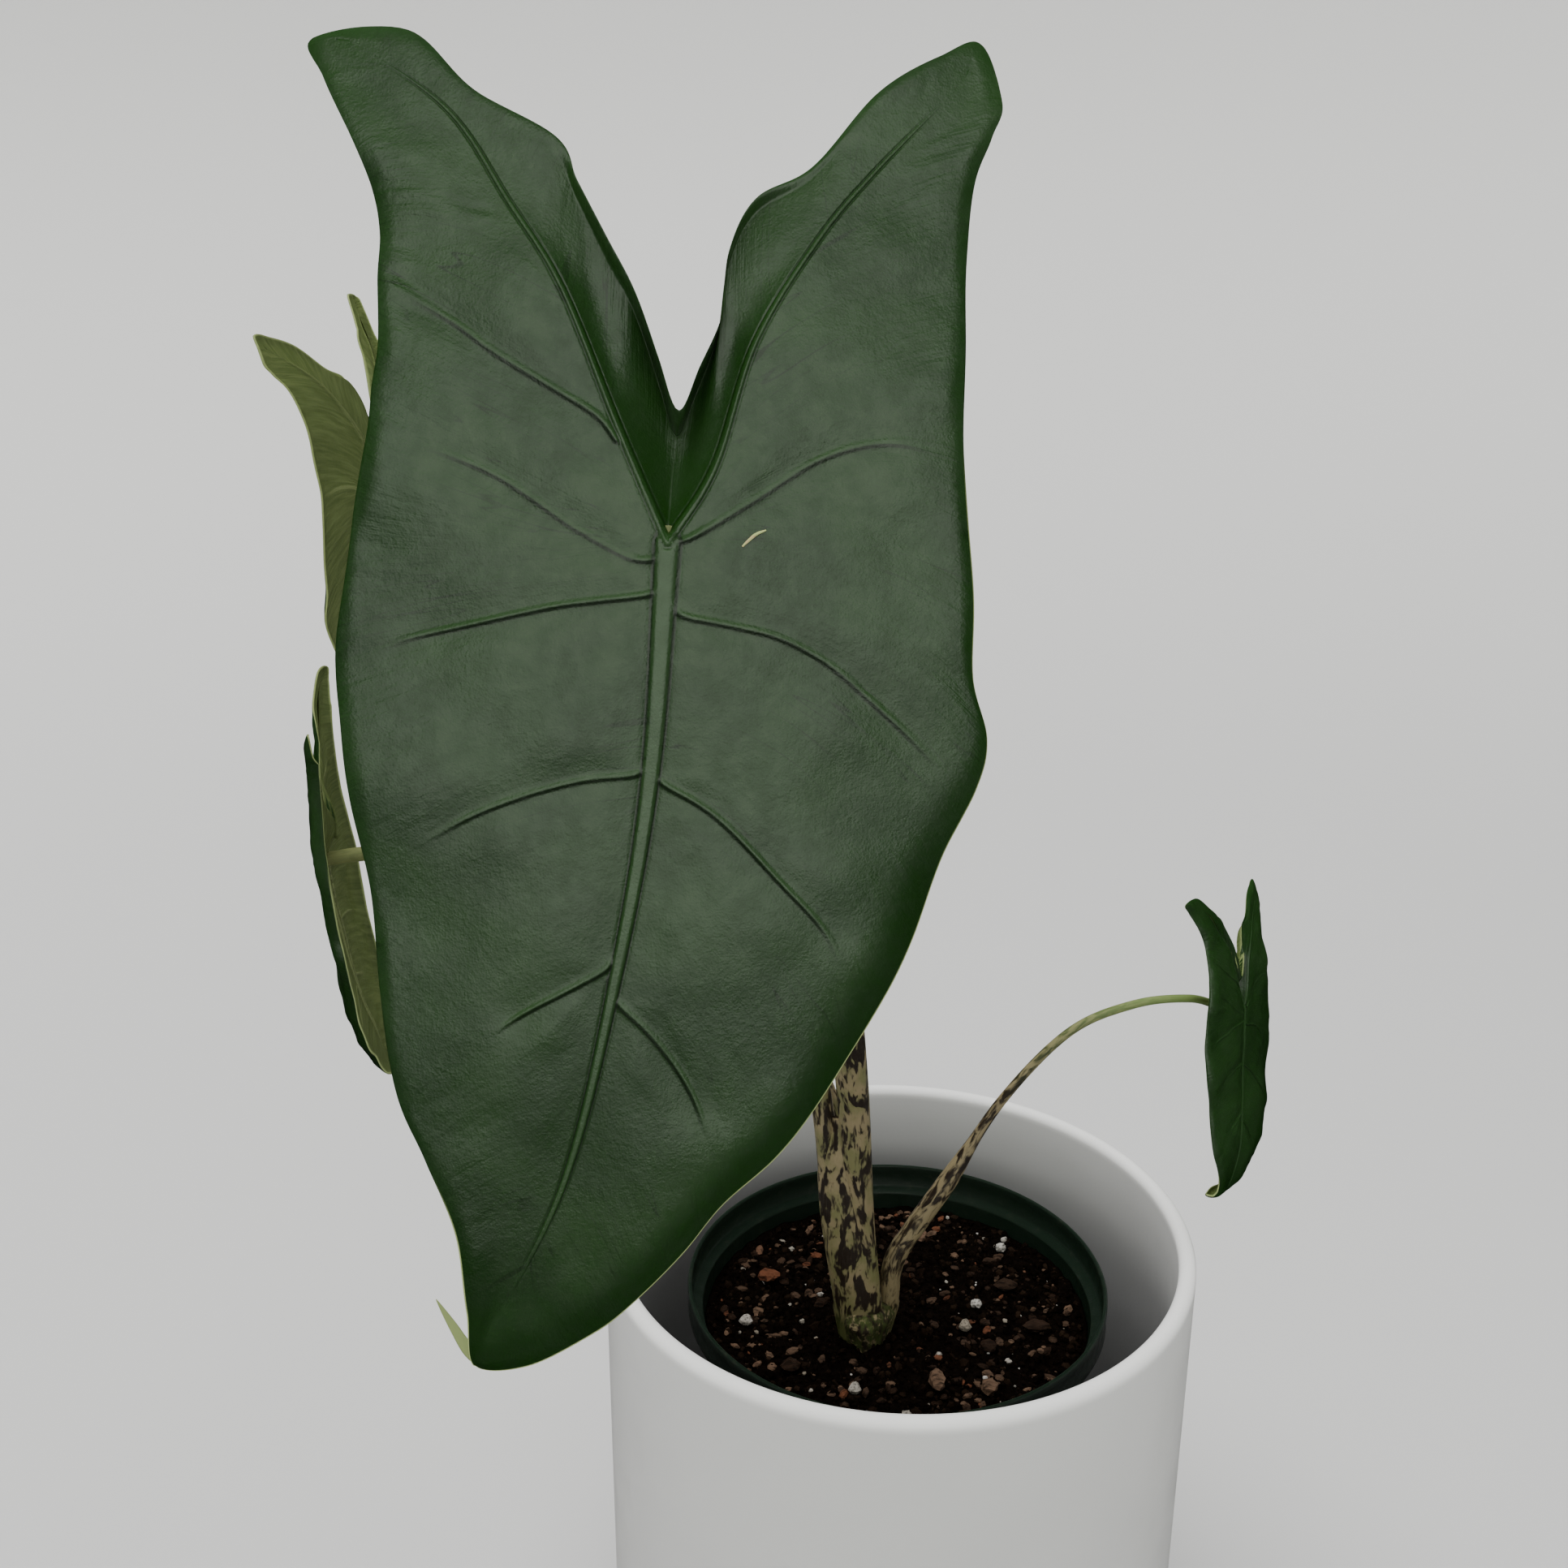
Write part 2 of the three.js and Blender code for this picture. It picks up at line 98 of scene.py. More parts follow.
# Fine lateral veins round the blade: the rib, the share along it where the vein starts, the
# vein's bow and its end on the margin.
VEINS = [
    ("mid", 1.0, (-40, -158), (-41, -162)),
    ("mid", 0.93, (-34, -155), (-31, -161.5)),
    ("mid", 0.85, (-25, -142), (-18, -154.5)),
    ("mid", 0.76, (-13, -128), (-8.5, -147)),
    ("mid", 0.65, (-4, -113), (0.5, -138)),
    ("mid", 0.54, (6, -98), (8, -129)),
    ("mid", 0.45, (10, -82), (19, -119)),
    ("mid", 0.37, (14, -66), (29, -106)),
    ("mid", 0.28, (18, -52), (38, -92)),
    ("mid", 0.21, (24, -42), (47, -76)),
    ("mid", 0.14, (29, -28), (53, -60)),
    ("mid", 0.08, (32, -16), (59, -48)),
    ("mid", 0.04, (36, -9), (61, -38)),
    ("mid", 0.0, (36, -2), (58, -26)),
    ("right", 0.0, (35, 7), (58, -10)),
    ("right", 0.0, (32, 22), (56.5, 9)),
    ("right", 0.0, (33, 27), (56.1, 24)),
    ("right", 0.16, (32, 36), (57, 40)),
    ("right", 0.39, (38, 52), (58, 55)),
    ("right", 0.6, (45, 66), (59.6, 68)),
    ("right", 0.76, (52, 75), (62.3, 76)),
    ("right", 0.9, (60, 83), (64.2, 83)),
    ("right", 1.0, (59, 91), (61, 94)),
    ("right", 0.9, (52, 86), (53, 91)),
    ("right", 0.76, (40, 77), (41, 84)),
    ("right", 0.6, (28.5, 64), (29, 71.4)),
    ("right", 0.39, (16.5, 52), (18, 65)),
    ("right", 0.25, (11.5, 40), (12.5, 54.6)),
    ("right", 0.1, (7, 28), (11, 42.4)),
    ("right", 0.04, (4, 18), (6.5, 32)),
    ("right", 0.0, (1, 12), (2.5, 24)),
    ("left", 0.06, (-1, 20), (-1, 34)),
    ("left", 0.14, (-5, 30), (-5, 46)),
    ("left", 0.3, (-11, 44), (-10, 56)),
    ("left", 0.46, (-16, 58), (-15.3, 67)),
    ("left", 0.6, (-23, 69), (-18.8, 75)),
    ("left", 0.78, (-35, 81.5), (-34, 83.6)),
    ("left", 0.9, (-47, 90), (-46, 94.8)),
    ("left", 1.0, (-59, 93), (-63.4, 93.6)),
    ("left", 0.9, (-55, 87), (-61, 86)),
    ("left", 0.78, (-48, 79), (-55.5, 74)),
    ("left", 0.6, (-40, 68), (-53, 65)),
    ("left", 0.46, (-37, 60), (-52.1, 58)),
    ("left", 0.21, (-30, 38), (-52.2, 49)),
    ("left", 0.1, (-29, 25), (-52.4, 37)),
    ("left", 0.0, (-26, 14), (-53.4, 29)),
    ("left", 0.0, (-22, 4), (-54.4, 20)),
    ("left", 0.0, (-27, -1), (-58, 5)),
    ("mid", 0.0, (-29, -5), (-60.2, -7)),
    ("mid", 0.06, (-30, -11), (-62.2, -20)),
    ("mid", 0.12, (-31, -20), (-61, -33)),
    ("mid", 0.19, (-32, -33), (-59.6, -47)),
    ("mid", 0.27, (-31, -44), (-57.2, -63)),
    ("mid", 0.38, (-31, -62), (-56.4, -82)),
    ("mid", 0.5, (-31, -86), (-53.6, -103)),
    ("mid", 0.65, (-33, -105), (-48.4, -116.5)),
    ("mid", 0.8, (-35, -127), (-42.8, -132)),
    ("mid", 0.92, (-38, -146), (-41.6, -148)),
]

# The vein, counted from 0, that ends at the bottom of the notch between the lobes, and the tip.
NOTCH = 30
TIP = VEINS[0][3]

# The strong lateral veins, each from where it leaves its rib.
LATERALS = [
    [(-9, 19), (-11.5, 22.5), (-14.5, 25), (-22, 29.6), (-31.5, 35.6), (-38.6, 41), (-48, 46.5)],
    [(-0.6, -1.5), (-2.6, -3), (-6, -3), (-10.2, -1.1), (-18.1, 3.6), (-24.4, 8.2), (-30.7, 12.4),
     (-37, 15.4), (-46, 18.8)],
    [(-1.4, -7), (-3.3, -9.4), (-12.5, -10.5), (-20, -11.3), (-26, -12.4), (-38.5, -15),
     (-48, -17), (-56, -20)],
    [(-4.2, -40), (-6.6, -43), (-16.6, -44), (-27, -46.5), (-38, -50.5), (-48, -56)],
    [(-11, -77), (-13.4, -80), (-21, -84), (-29, -88), (-35, -92)],
    [(0, 0), (4.6, 1), (15.6, 7.4), (28, 15), (37.6, 18), (45.4, 18), (54.7, 15.5)],
    [(0.6, -10), (2.4, -13.4), (12, -15.6), (21, -18), (30, -23), (38, -30), (46, -37.6), (53, -45)],
    [(-3.6, -42), (-1.6, -45), (5, -49), (11, -54), (20, -64), (28, -73), (32, -81)],
    [(-12.4, -82), (-11.4, -86), (-5.6, -92), (-0.4, -99), (3.3, -106), (5.8, -114)],
]

# Shares along each rib where lateral veins crowd, and how widely.
CLUSTERS = {
    "mid": [(0.0, 0.03), (0.07, 0.035), (0.28, 0.025), (0.52, 0.025)],
    "right": [(0.0, 0.04)],
    "left": [(0.13, 0.06)],
}

# Half widths of the ribs' raised bands at the joint and at their ends.
RIB_WIDTHS = {"mid": (2.05, 0.3), "right": (0.8, 0.25), "left": (0.85, 0.25)}

# A leaf's joint is measured from the middle of the corm at the soil. Its arcs are [length,
# radius] pairs walked from the joint, and its curl is the margin's strip, [width, radius] all
# round and then the same along the lower edge away from the joint.
LEAVES = {
    "front": {
        "joint": (-52, -177, 313), "yaw": 4.4, "pitch": 15, "roll": 0, "scale": 1.02,
        "to_tip": [(110, 2000), (24, 500), (40, 105)], "to_lobes": [(100, 1400)],
        "across": [(70, 900)], "curl": (3.5, 8, 13, 36), "density": 8.4,
        "path": [(1, -1, 12), (-2.5, 1.5, 48), (-6, 1, 98), (-12, -15, 158), (-21, -51, 218),
                 (-32, -99, 270)],
        "approach": 26, "radii": [5, 5.6, 5.2, 4.6, 4.2, 3.8, 3.4],
    },
    "upper_left": {
        "joint": (-172.5, 85, 284), "yaw": -97, "pitch": 6, "roll": -7, "scale": 0.74,
        "to_tip": [(150, -1500)], "to_lobes": [(100, -115)], "across": [(70, -200)],
        "curl": (4, 6, 4, 6), "density": 4,
        "path": [(-7, 3.5, 12), (-12, 5.5, 48), (-17, 10, 95), (-33, 24, 168), (-72, 50, 238),
                 (-118, 76, 275)],
        "approach": 20, "radii": [3.8, 3.7, 3.6, 3.5, 3.3, 3],
    },
    "lower_left": {
        "joint": (-184.5, 19, 175), "yaw": -80, "pitch": -3.5, "roll": -3.5, "scale": 0.6,
        "to_tip": [(60, 530), (40, -390)], "to_lobes": [(60, 650)], "across": [(40, 150)],
        "curl": (6, 5, 6, 5), "density": 4,
        "path": [(0.5, 9, 12), (-5, 16, 48), (-18, 25, 95), (-62, 30, 150), (-115, 25, 176)],
        "approach": 20, "radii": [3.2, 3.1, 3, 2.8, 2.6, 2.4],
    },
    "right": {
        "joint": (132, 27, 118), "yaw": 53, "pitch": 10, "roll": -8, "scale": 0.45,
        "to_tip": [(45, -1250), (14, 40), (11, 5)], "to_lobes": [(15, 300), (25, 92)],
        "across": [(40, 200)], "curl": (3, 3, 3, 3), "density": 4,
        "path": [(8.5, 4, 12), (10, 5, 30), (18, 7, 44), (29, 9, 61), (47, 13, 90), (69, 16, 114),
                 (91, 19, 123), (111, 24, 123)],
        "approach": 9, "radii": [3.5, 3.7, 3.6, 3.4, 2.0, 1.7, 1.6, 1.5, 1.5, 1.4, 1.4, 1.4],
    },
}

CORM_TOP = 11.7
CAD_BLADE = 0.9

corm_low, corm_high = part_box("corm")
PLANT = np.array([(corm_low.x + corm_high.x) / 2, (corm_low.y + corm_high.y) / 2,
                  corm_high.z - CORM_TOP * MM])

# The soil's round bed, in metres.
soil_low, soil_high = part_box("soil")
SOIL = {"radius": (soil_high.x - soil_low.x) / 2, "top": soil_high.z - 0.002, "dome": 0.002,
        "bottom": soil_low.z, "foot": 0.0533}

# ---------------------------------------------------------------- curves and noise


def catmull(points, place, closed=False):
    """Points of the smooth curve through the given ones; place counts them from 0."""
    points = np.asarray(points, float)
    place = np.asarray(place, float)
    count = len(points)
    if closed:
        first = np.floor(place).astype(int)
        a, b, c, d = (points[(first + k) % count] for k in (-1, 0, 1, 2))
    else:
        first = np.clip(np.floor(place).astype(int), 0, count - 2)
        ends = np.vstack([2 * points[0] - points[1], points, 2 * points[-1] - points[-2]])
        a, b, c, d = (ends[first + k] for k in (0, 1, 2, 3))
    t = (place - first)[..., None]
    return 0.5 * (2 * b + (c - a) * t + (2 * a - 5 * b + 4 * c - d) * t**2
                  + (3 * b - a - 3 * c + d) * t**3)


def even(points, share):
    """Points at shares of the whole length of the smooth curve through the given ones."""
    place = np.linspace(0, len(points) - 1, CURVE_STEPS + 1)
    line = catmull(points, place)
    length = np.concatenate([[0], np.cumsum(np.linalg.norm(np.diff(line, axis=0), axis=1))])
    return catmull(points, np.interp(np.asarray(share) * length[-1], length, place))


def smooth(low, high, value):
    """0 up to low, 1 from high on, and an easy slope between them."""
    t = np.clip((value - low) / (high - low), 0, 1)
    return t * t * (3 - 2 * t)


def value_noise(x, y, seed):
    """Smooth noise from -1 to 1 over a plane, the same each time for a seed."""
    table = np.random.default_rng(seed).uniform(-1, 1, (NOISE_CELLS, NOISE_CELLS))
    i, j = np.floor(x).astype(int), np.floor(y).astype(int)
    u, v = smooth(0, 1, x - i), smooth(0, 1, y - j)

    def at(across, up):
        return table[(i + across) % NOISE_CELLS, (j + up) % NOISE_CELLS]

    low = at(0, 0) * (1 - u) + at(1, 0) * u
    high = at(0, 1) * (1 - u) + at(1, 1) * u
    return low * (1 - v) + high * v


def distance_to(points, line):
    """How far each point is from a polyline, less than 0 below it, and the share along the line
    of the nearest spot."""
    best = np.full(len(points), 1e9)
    share, above = np.zeros(len(points)), np.ones(len(points))
    steps = np.linalg.norm(np.diff(line, axis=0), axis=1)
    reached = np.concatenate([[0], np.cumsum(steps)])
    for i, step in enumerate(steps):
        along = line[i + 1] - line[i]
        t = np.clip((points - line[i]) @ along / (step * step), 0, 1)
        gap = np.linalg.norm(points - line[i] - t[:, None] * along, axis=1)
        nearer = gap < best
        best[nearer] = gap[nearer]
        share[nearer] = ((reached[i] + t * step) / reached[-1])[nearer]
        away = points - line[i]
        turn = (along[0] * away[:, 1] - along[1] * away[:, 0]) * (1 if along[0] > 0 else -1)
        above[nearer] = np.where(turn < 0, -1, 1)[nearer]
    return best * above, share


# ---------------------------------------------------------------- meshes


def mesh_object(name, vertices, faces, materials=()):
    mesh = bpy.data.meshes.new(name)
    mesh.from_pydata(np.asarray(vertices).tolist(), [], faces)
    for material in materials:
        mesh.materials.append(material)
    mesh.polygons.foreach_set("use_smooth", [True] * len(mesh.polygons))
    mesh.update()
    made = bpy.data.objects.new(name, mesh)
    bpy.context.scene.collection.objects.link(made)
    return made


def set_values(mesh, name, values):
    attribute = mesh.attributes.new(name, "FLOAT", "POINT")
    attribute.data.foreach_set("value", np.asarray(values, np.float32))


def set_vectors(mesh, name, values):
    attribute = mesh.attributes.new(name, "FLOAT_VECTOR", "POINT")
    attribute.data.foreach_set("vector", np.asarray(values, np.float32).ravel())

def full_turn(sides):
    return np.arange(sides) * 2 * math.pi / sides

def grid_faces(columns, rows):
    """Quads of a ring of columns, whose vertices run column by column."""
    faces = []
    for i in range(columns):
        a, b = i * rows, (i + 1) % columns * rows
        faces += [(a + j, b + j, b + j + 1, a + j + 1) for j in range(rows - 1)]
    return faces

def closed_grid(name, columns, material):
    """A ring of columns of vertices, closed by one face at each end."""
    sides, rows = len(columns), len(columns[0])
    faces = grid_faces(sides, rows)
    faces.append([i * rows for i in range(sides)][::-1])
    faces.append([i * rows + rows - 1 for i in range(sides)])
    return mesh_object(name, np.concatenate(columns), faces, [material])


def lathe(name, profile, sides, material):
    """Turns a profile of (radius, height) points in metres, from the axis round to the axis."""
    turn = full_turn(sides)
    ring = profile[1:-1]
    vertices = [(r * math.cos(a), r * math.sin(a), z) for a in turn for r, z in ring]
    faces = grid_faces(sides, len(ring))
    foot, head = len(vertices), len(vertices) + 1
    vertices += [(0, 0, profile[0][1]), (0, 0, profile[-1][1])]
    for i in range(sides):
        a, b = i * len(ring), (i + 1) % sides * len(ring)
        faces.append((foot, b, a))
        faces.append((head, a + len(ring) - 1, b + len(ring) - 1))
    return mesh_object(name, vertices, faces, [material])


def arc(x, z, radius, start, end, steps):
    turn = np.radians(np.linspace(start, end, steps + 1))
    return [(x + radius * math.cos(a), z + radius * math.sin(a)) for a in turn]


def keep(piece, slot, *replaced):
    """Joins a finished piece to the frame."""
    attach(piece, BODY)
    if replaced:
        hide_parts(*replaced)


# ---------------------------------------------------------------- materials


def add_node(tree, kind, values, settings):
    """A new node; each of its values is a plain one or the socket that feeds it."""
    node = tree.nodes.new(kind)
    for name, value in settings.items():
        setattr(node, name, value)
    for name, value in values.items():
        if isinstance(value, bpy.types.NodeSocket):
            tree.links.new(value, node.inputs[name])
        else:
            node.inputs[name].default_value = value
    return node

class Shader:
    """A material's node tree, with short calls for the nodes that the finishes share."""

    def __init__(self, name, roughness, specular=0.5):
        self.material = bpy.data.materials.new(name)
        self.material.use_nodes = True
        self.tree = self.material.node_tree
        self.surface = self.tree.nodes["Principled BSDF"]
        self.surface.inputs["Roughness"].default_value = roughness
        self.surface.inputs["Specular IOR Level"].default_value = specular
        self.place = self.tree.nodes.new("ShaderNodeTexCoord").outputs["Object"]

    def add(self, kind, values, **settings):
        return add_node(self.tree, kind, values, settings)

    def value(self, name):
        return self.add("ShaderNodeAttribute", {}, attribute_name=name).outputs["Fac"]

    def vector(self, name):
        return self.add("ShaderNodeAttribute", {}, attribute_name=name).outputs["Vector"]

    def part(self, vector, axis):
        return self.add("ShaderNodeSeparateXYZ", {"Vector": vector}).outputs[axis]

    def noise(self, scale, vector=None, detail=3.0, roughness=0.55, distortion=0.0):
        values = {"Vector": vector or self.place, "Scale": scale, "Detail": detail,
                  "Roughness": roughness, "Distortion": distortion}
        return self.add("ShaderNodeTexNoise", values).outputs["Fac"]

    def streaks(self, vector, scale, **settings):
        """Noise drawn finer or longer along each part of a vector."""
        stretched = self.add("ShaderNodeMapping", {"Vector": vector, "Scale": scale}).outputs[0]
        return self.noise(1.0, stretched, **settings)

    def cells(self, scale):
        values = {"Vector": self.place, "Scale": scale}
        return self.add("ShaderNodeTexVoronoi", values).outputs["Distance"]

    def span(self, value, low, high, to_low=0.0, to_high=1.0):
        values = {"Value": value, "From Min": low, "From Max": high, "To Min": to_low,
                  "To Max": to_high}
        made = self.add("ShaderNodeMapRange", values, interpolation_type="SMOOTHSTEP")
        return made.outputs["Result"]

    def math(self, operation, a, b=0.0):
        return self.add("ShaderNodeMath", {0: a, 1: b}, operation=operation).outputs[0]

    def times(self, a, b):
        return self.math("MULTIPLY", a, b)

    def mix(self, factor, a, b):
        values = {0: factor, 6: rgba(a), 7: rgba(b)}
        return self.add("ShaderNodeMix", values, data_type="RGBA").outputs[2]

    def colour(self, value):
        self.tree.links.new(value, self.surface.inputs["Base Color"])

    def rough(self, value):
        self.tree.links.new(value, self.surface.inputs["Roughness"])

    def bump(self, *layers):
        """Layers are (height, distance in metres) pairs, the widest first."""
        normal = None
        for height, distance in layers:
            values = {"Height": height, "Distance": distance}
            if normal:
                values["Normal"] = normal
            normal = self.add("ShaderNodeBump", values).outputs[0]
        self.tree.links.new(normal, self.surface.inputs["Normal"])


def rgba(value):
    if isinstance(value, bpy.types.NodeSocket):
        return value
    return (*tuple(value)[:3], 1.0)


def finish(name, make):
    """A finish made once and shared by every piece that wears it."""
    return bpy.data.materials.get(name) or make(name)


def leaf_lines(shader):
    """Masks of a leaf's ribs, of the grooves beside them and of the two sides of its lateral veins; the
    upper side paints shade in the grooves and below each vein and paints light along its upper side, the
    underside paints them all as pale ribs.
    """
    rib_gap = shader.value("rib_gap")
    rib = shader.value("rib")
    vein_gap = shader.value("vein_gap")
    vein = shader.value("vein")

    def near(value, middle, reach, strength):
        away = shader.math("ABSOLUTE", shader.math("SUBTRACT", value, middle))
        return shader.times(shader.span(away, reach, reach * 0.3), strength)

    return (near(rib_gap, 0.0, 1.05, rib), near(rib_gap, 1.22, 0.28, rib),
            near(vein_gap, 0.25, 0.6, vein), near(vein_gap, -0.55, 0.5, vein))


def leaf_upper(name):
    """Deep glossy green, with crisp ribs and veins, hair lines and a finely wrinkled skin; painted shade
    darkens the creases beside the ribs, a line below each vein, the notch and a band along the rolled
    margins, and painted light lifts the veins' upper sides.
    """
    leaf = bpy.context.scene.alocasia_leaves
    shader = Shader(name, 0.36, 0.9)
    flow = shader.vector("flow")
    edge = shader.value("edge")
    low = shader.value("low")
    rib, rib_line, vein, vein_line = leaf_lines(shader)
    broad = shader.noise(38, detail=2)
    fine = shader.noise(900, detail=2)
    body = shader.mix(shader.span(broad, 0.35, 0.65), leaf.deep_green, leaf.mid_green)
    speckled = shader.mix(shader.span(fine, 0.45, 0.75, 0, 0.22), body, leaf.light_green)
    small = shader.streaks(flow, (0.2, 0.014, 1), detail=1, distortion=0.15)
    hair = shader.span(shader.math("ABSOLUTE", shader.math("SUBTRACT", small, 0.5)), 0.009, 0.002)
    patchy = shader.times(hair, shader.span(shader.noise(30), 0.45, 0.65, 0, 0.6))
    lined = shader.mix(patchy, speckled, leaf.line_and_shade_green)
    # Painted shade: the notch between the lobes is darkened to deep green where its sheen falls away.
    notch_shade = shader.times(shader.value("notch_shade"), 0.97)
    notch_shaded = shader.mix(notch_shade, lined, leaf.edge_shade_green)
    # Painted light: the veins' upper sides take the paler rib green, on top of the veins' own paler
    # colour.
    veined = shader.mix(shader.times(vein, 0.5), notch_shaded, leaf.rib_green)
    # Painted shade: a dark line below each lateral vein, which is slightly sunken, and in the grooves
    # beside the ribs.
    crease_shaded = shader.mix(shader.times(vein_line, 0.85), veined, leaf.line_and_shade_green)
    ribbed = shader.mix(shader.times(rib, 0.8), crease_shaded, leaf.rib_green)
    crease_shaded = shader.mix(shader.times(rib_line, 0.8), ribbed, leaf.line_and_shade_green)
    # Painted shade: a deep green band along the margin where the low mask is set, at the lower right, the
    # tip and the right side.
    band = shader.times(shader.span(edge, 11.5, 4, 0, 0.8), low)
    margin = shader.times(shader.span(edge, 0.4, 0.12, 0, 0.9), low)
    shader.colour(shader.mix(margin, shader.mix(band, crease_shaded, leaf.edge_shade_green), leaf.margin_green))
    shader.rough(shader.span(shader.noise(260, detail=4), 0.3, 0.7, 0.33, 0.43))
    ripple = shader.streaks(flow, (0.55, 0.07, 1), detail=3, distortion=0.4)
    out = shader.part(flow, "Y")
    wrinkled = shader.times(shader.span(edge, 24, 5, 0.35, 1.0), shader.span(out, 6, 20))
    rippled = shader.times(ripple, wrinkled)
    shader.bump((rippled, 0.0002), (shader.noise(750), 0.00009),
                (shader.cells(2100), 0.00003))
    return shader.material


def leaf_under(name):
    """Pale matt green with raised, paler ribs and veins."""
    leaf = bpy.context.scene.alocasia_leaves
    shader = Shader(name, 0.55, 0.4)
    flow = shader.vector("flow")
    edge = shader.value("edge")
    rib, rib_line, vein, vein_line = leaf_lines(shader)
    streak = shader.streaks(flow, (0.5, 0.06, 1), detail=3)
    body = shader.mix(shader.span(streak, 0.35, 0.7), leaf.under_green, leaf.under_light)
    both = shader.math("MAXIMUM", vein, vein_line)
    veined = shader.mix(shader.times(both, 0.55), body, leaf.under_rib)
    ribbed = shader.mix(shader.times(shader.math("MAXIMUM", rib, rib_line), 0.8), veined,
                        leaf.under_rib)
    shader.colour(shader.mix(shader.span(edge, 0.9, 0.2, 0, 0.45), ribbed, leaf.margin_green))
    shader.bump((streak, 0.0004), (shader.noise(800, detail=3), 0.00012))
    return shader.material


def dry_scar(name):
    leaf = bpy.context.scene.alocasia_leaves
    shader = Shader(name, 0.8, 0.3)
    patches = shader.noise(1400, detail=2)
    shader.colour(shader.mix(shader.span(patches, 0.4, 0.6), leaf.scar, leaf.margin_green))
    shader.bump((patches, 0.0002))
    return shader.material


def stalk_skin(name):
    stalk = bpy.context.scene.alocasia_stalks
    shader = Shader(name, 0.5, 0.4)
    along = shader.vector("stalk")
    blotch = shader.streaks(along, (210, 210, 75), detail=2.5, roughness=0.6, distortion=1.1)
    bars = shader.streaks(along, (420, 420, 210), detail=2, distortion=0.6)
    mixed = shader.math("ADD", shader.times(blotch, 0.72), shader.times(bars, 0.28))
    tan = shader.mix(shader.span(shader.noise(120), 0.35, 0.65), stalk.tan, stalk.olive)
    marked = shader.mix(shader.span(mixed, 0.48, 0.55), tan, stalk.brown)
    height = shader.part(along, "Z")
    paler = shader.mix(shader.span(height, 0.12, 0.3, 0, 0.8), marked, stalk.upper_green)
    wobble = shader.math("ADD", height, shader.times(shader.noise(160), 0.012))
    shader.colour(shader.mix(shader.span(wobble, 0.024, 0.012, 0, 0.8), paler, stalk.moss))
    fibre = shader.streaks(along, (1500, 1500, 60), detail=2)
    shader.bump((mixed, 0.0002), (fibre, 0.00025))
    shader.rough(shader.span(shader.noise(300), 0.3, 0.7, 0.42, 0.62))
    return shader.material


def thin_stalk_skin(name):
    stalk = bpy.context.scene.alocasia_stalks
    shader = Shader(name, 0.5, 0.4)
    along = shader.vector("stalk")
    blotch = shader.streaks(along, (500, 500, 160), detail=3, distortion=0.8)
    tan = shader.mix(shader.span(blotch, 0.42, 0.6), stalk.tan, stalk.brown)
    height = shader.part(along, "Z")
    greener = shader.mix(shader.span(height, 0.1, 0.19), tan, stalk.tip_green)
    shader.colour(shader.mix(shader.span(height, 0.02, 0.008, 0, 0.7), greener, stalk.moss))
    fibre = shader.streaks(along, (1800, 1800, 80), detail=2)
    shader.bump((fibre, 0.0002))
    return shader.material


def glaze(name):
    pots = bpy.context.scene.alocasia_pots
    shader = Shader(name, 0.42, 0.45)
    broad = shader.noise(9, detail=2)
    body = shader.mix(shader.span(broad, 0.3, 0.7), pots.glaze, pots.glaze_shade)
    inner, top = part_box("cachepot")[1].x - pots.wall * 1.05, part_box("cachepot")[1].z
    height = shader.part(shader.place, "Z")
    level = shader.add("ShaderNodeVectorMath", {0: shader.place, 1: (1, 1, 0)}, operation="MULTIPLY")
    reach = shader.add("ShaderNodeVectorMath", {0: level.outputs[0]}, operation="LENGTH")
    inside = shader.span(reach.outputs["Value"], inner + 0.0015, inner, 0, 1)
    # Painted shade: the inside darkens towards the grey of pots.inside with depth below the rim, where
    # shade falls in the pot.
    deep = shader.times(inside, shader.span(height, top, top - 0.05, 0.1, 0.8))
    shaded = shader.mix(deep, body, pots.inside)
    # Painted light: the top of the lip is painted a brighter white, as if lit from above.
    lip = shader.span(height, top - 0.005, top - 0.0015, 0, 0.9)
    shader.colour(shader.mix(lip, shaded, pots.lip))
    shader.rough(shader.span(shader.noise(60, detail=4), 0.3, 0.7, 0.36, 0.48))
    shader.bump((shader.noise(26, detail=2), 0.0006), (shader.noise(900, detail=3), 0.00004))
    return shader.material


def dark_plastic(name):
    pots = bpy.context.scene.alocasia_pots
    shader = Shader(name, 0.42, 0.5)
    dust = shader.span(shader.noise(150, detail=5, roughness=0.65), 0.55, 0.8, 0, 0.35)
    shader.colour(shader.mix(dust, pots.plastic, pots.plastic_dust))
    shader.rough(shader.span(shader.noise(220, detail=4), 0.3, 0.7, 0.34, 0.52))
    shader.bump((shader.noise(70, detail=2), 0.0002), (shader.cells(1600), 0.00004))
    return shader.material


def earth(name):
    soil = bpy.context.scene.alocasia_soil
    shader = Shader(name, 1.0, 0.04)
    tint = shader.value("tint")
    grain = shader.noise(420, detail=5, roughness=0.7)
    dark = shader.mix(shader.span(grain, 0.35, 0.7), soil.earth_dark, soil.earth)
    shader.colour(shader.mix(shader.times(tint, 0.75), dark, soil.earth_light))
    shader.bump((grain, 0.0008), (shader.noise(1800, detail=3), 0.0002))
    return shader.material


def bark(name):
    soil = bpy.context.scene.alocasia_soil
    shader = Shader(name, 0.85, 0.3)
    tint = shader.value("tint")
    grain = shader.streaks(shader.place, (300, 900, 500), detail=4)
    body = shader.mix(shader.span(tint, 0.1, 0.75), soil.bark_brown, soil.bark_tan)
    body = shader.mix(shader.span(tint, 0.86, 0.92, 0, 0.8), body, soil.bark_red)
    shader.colour(shader.mix(shader.span(grain, 0.45, 0.7, 0, 0.8), body, soil.earth_dark))
    shader.bump((grain, 0.0008))
    return shader.material


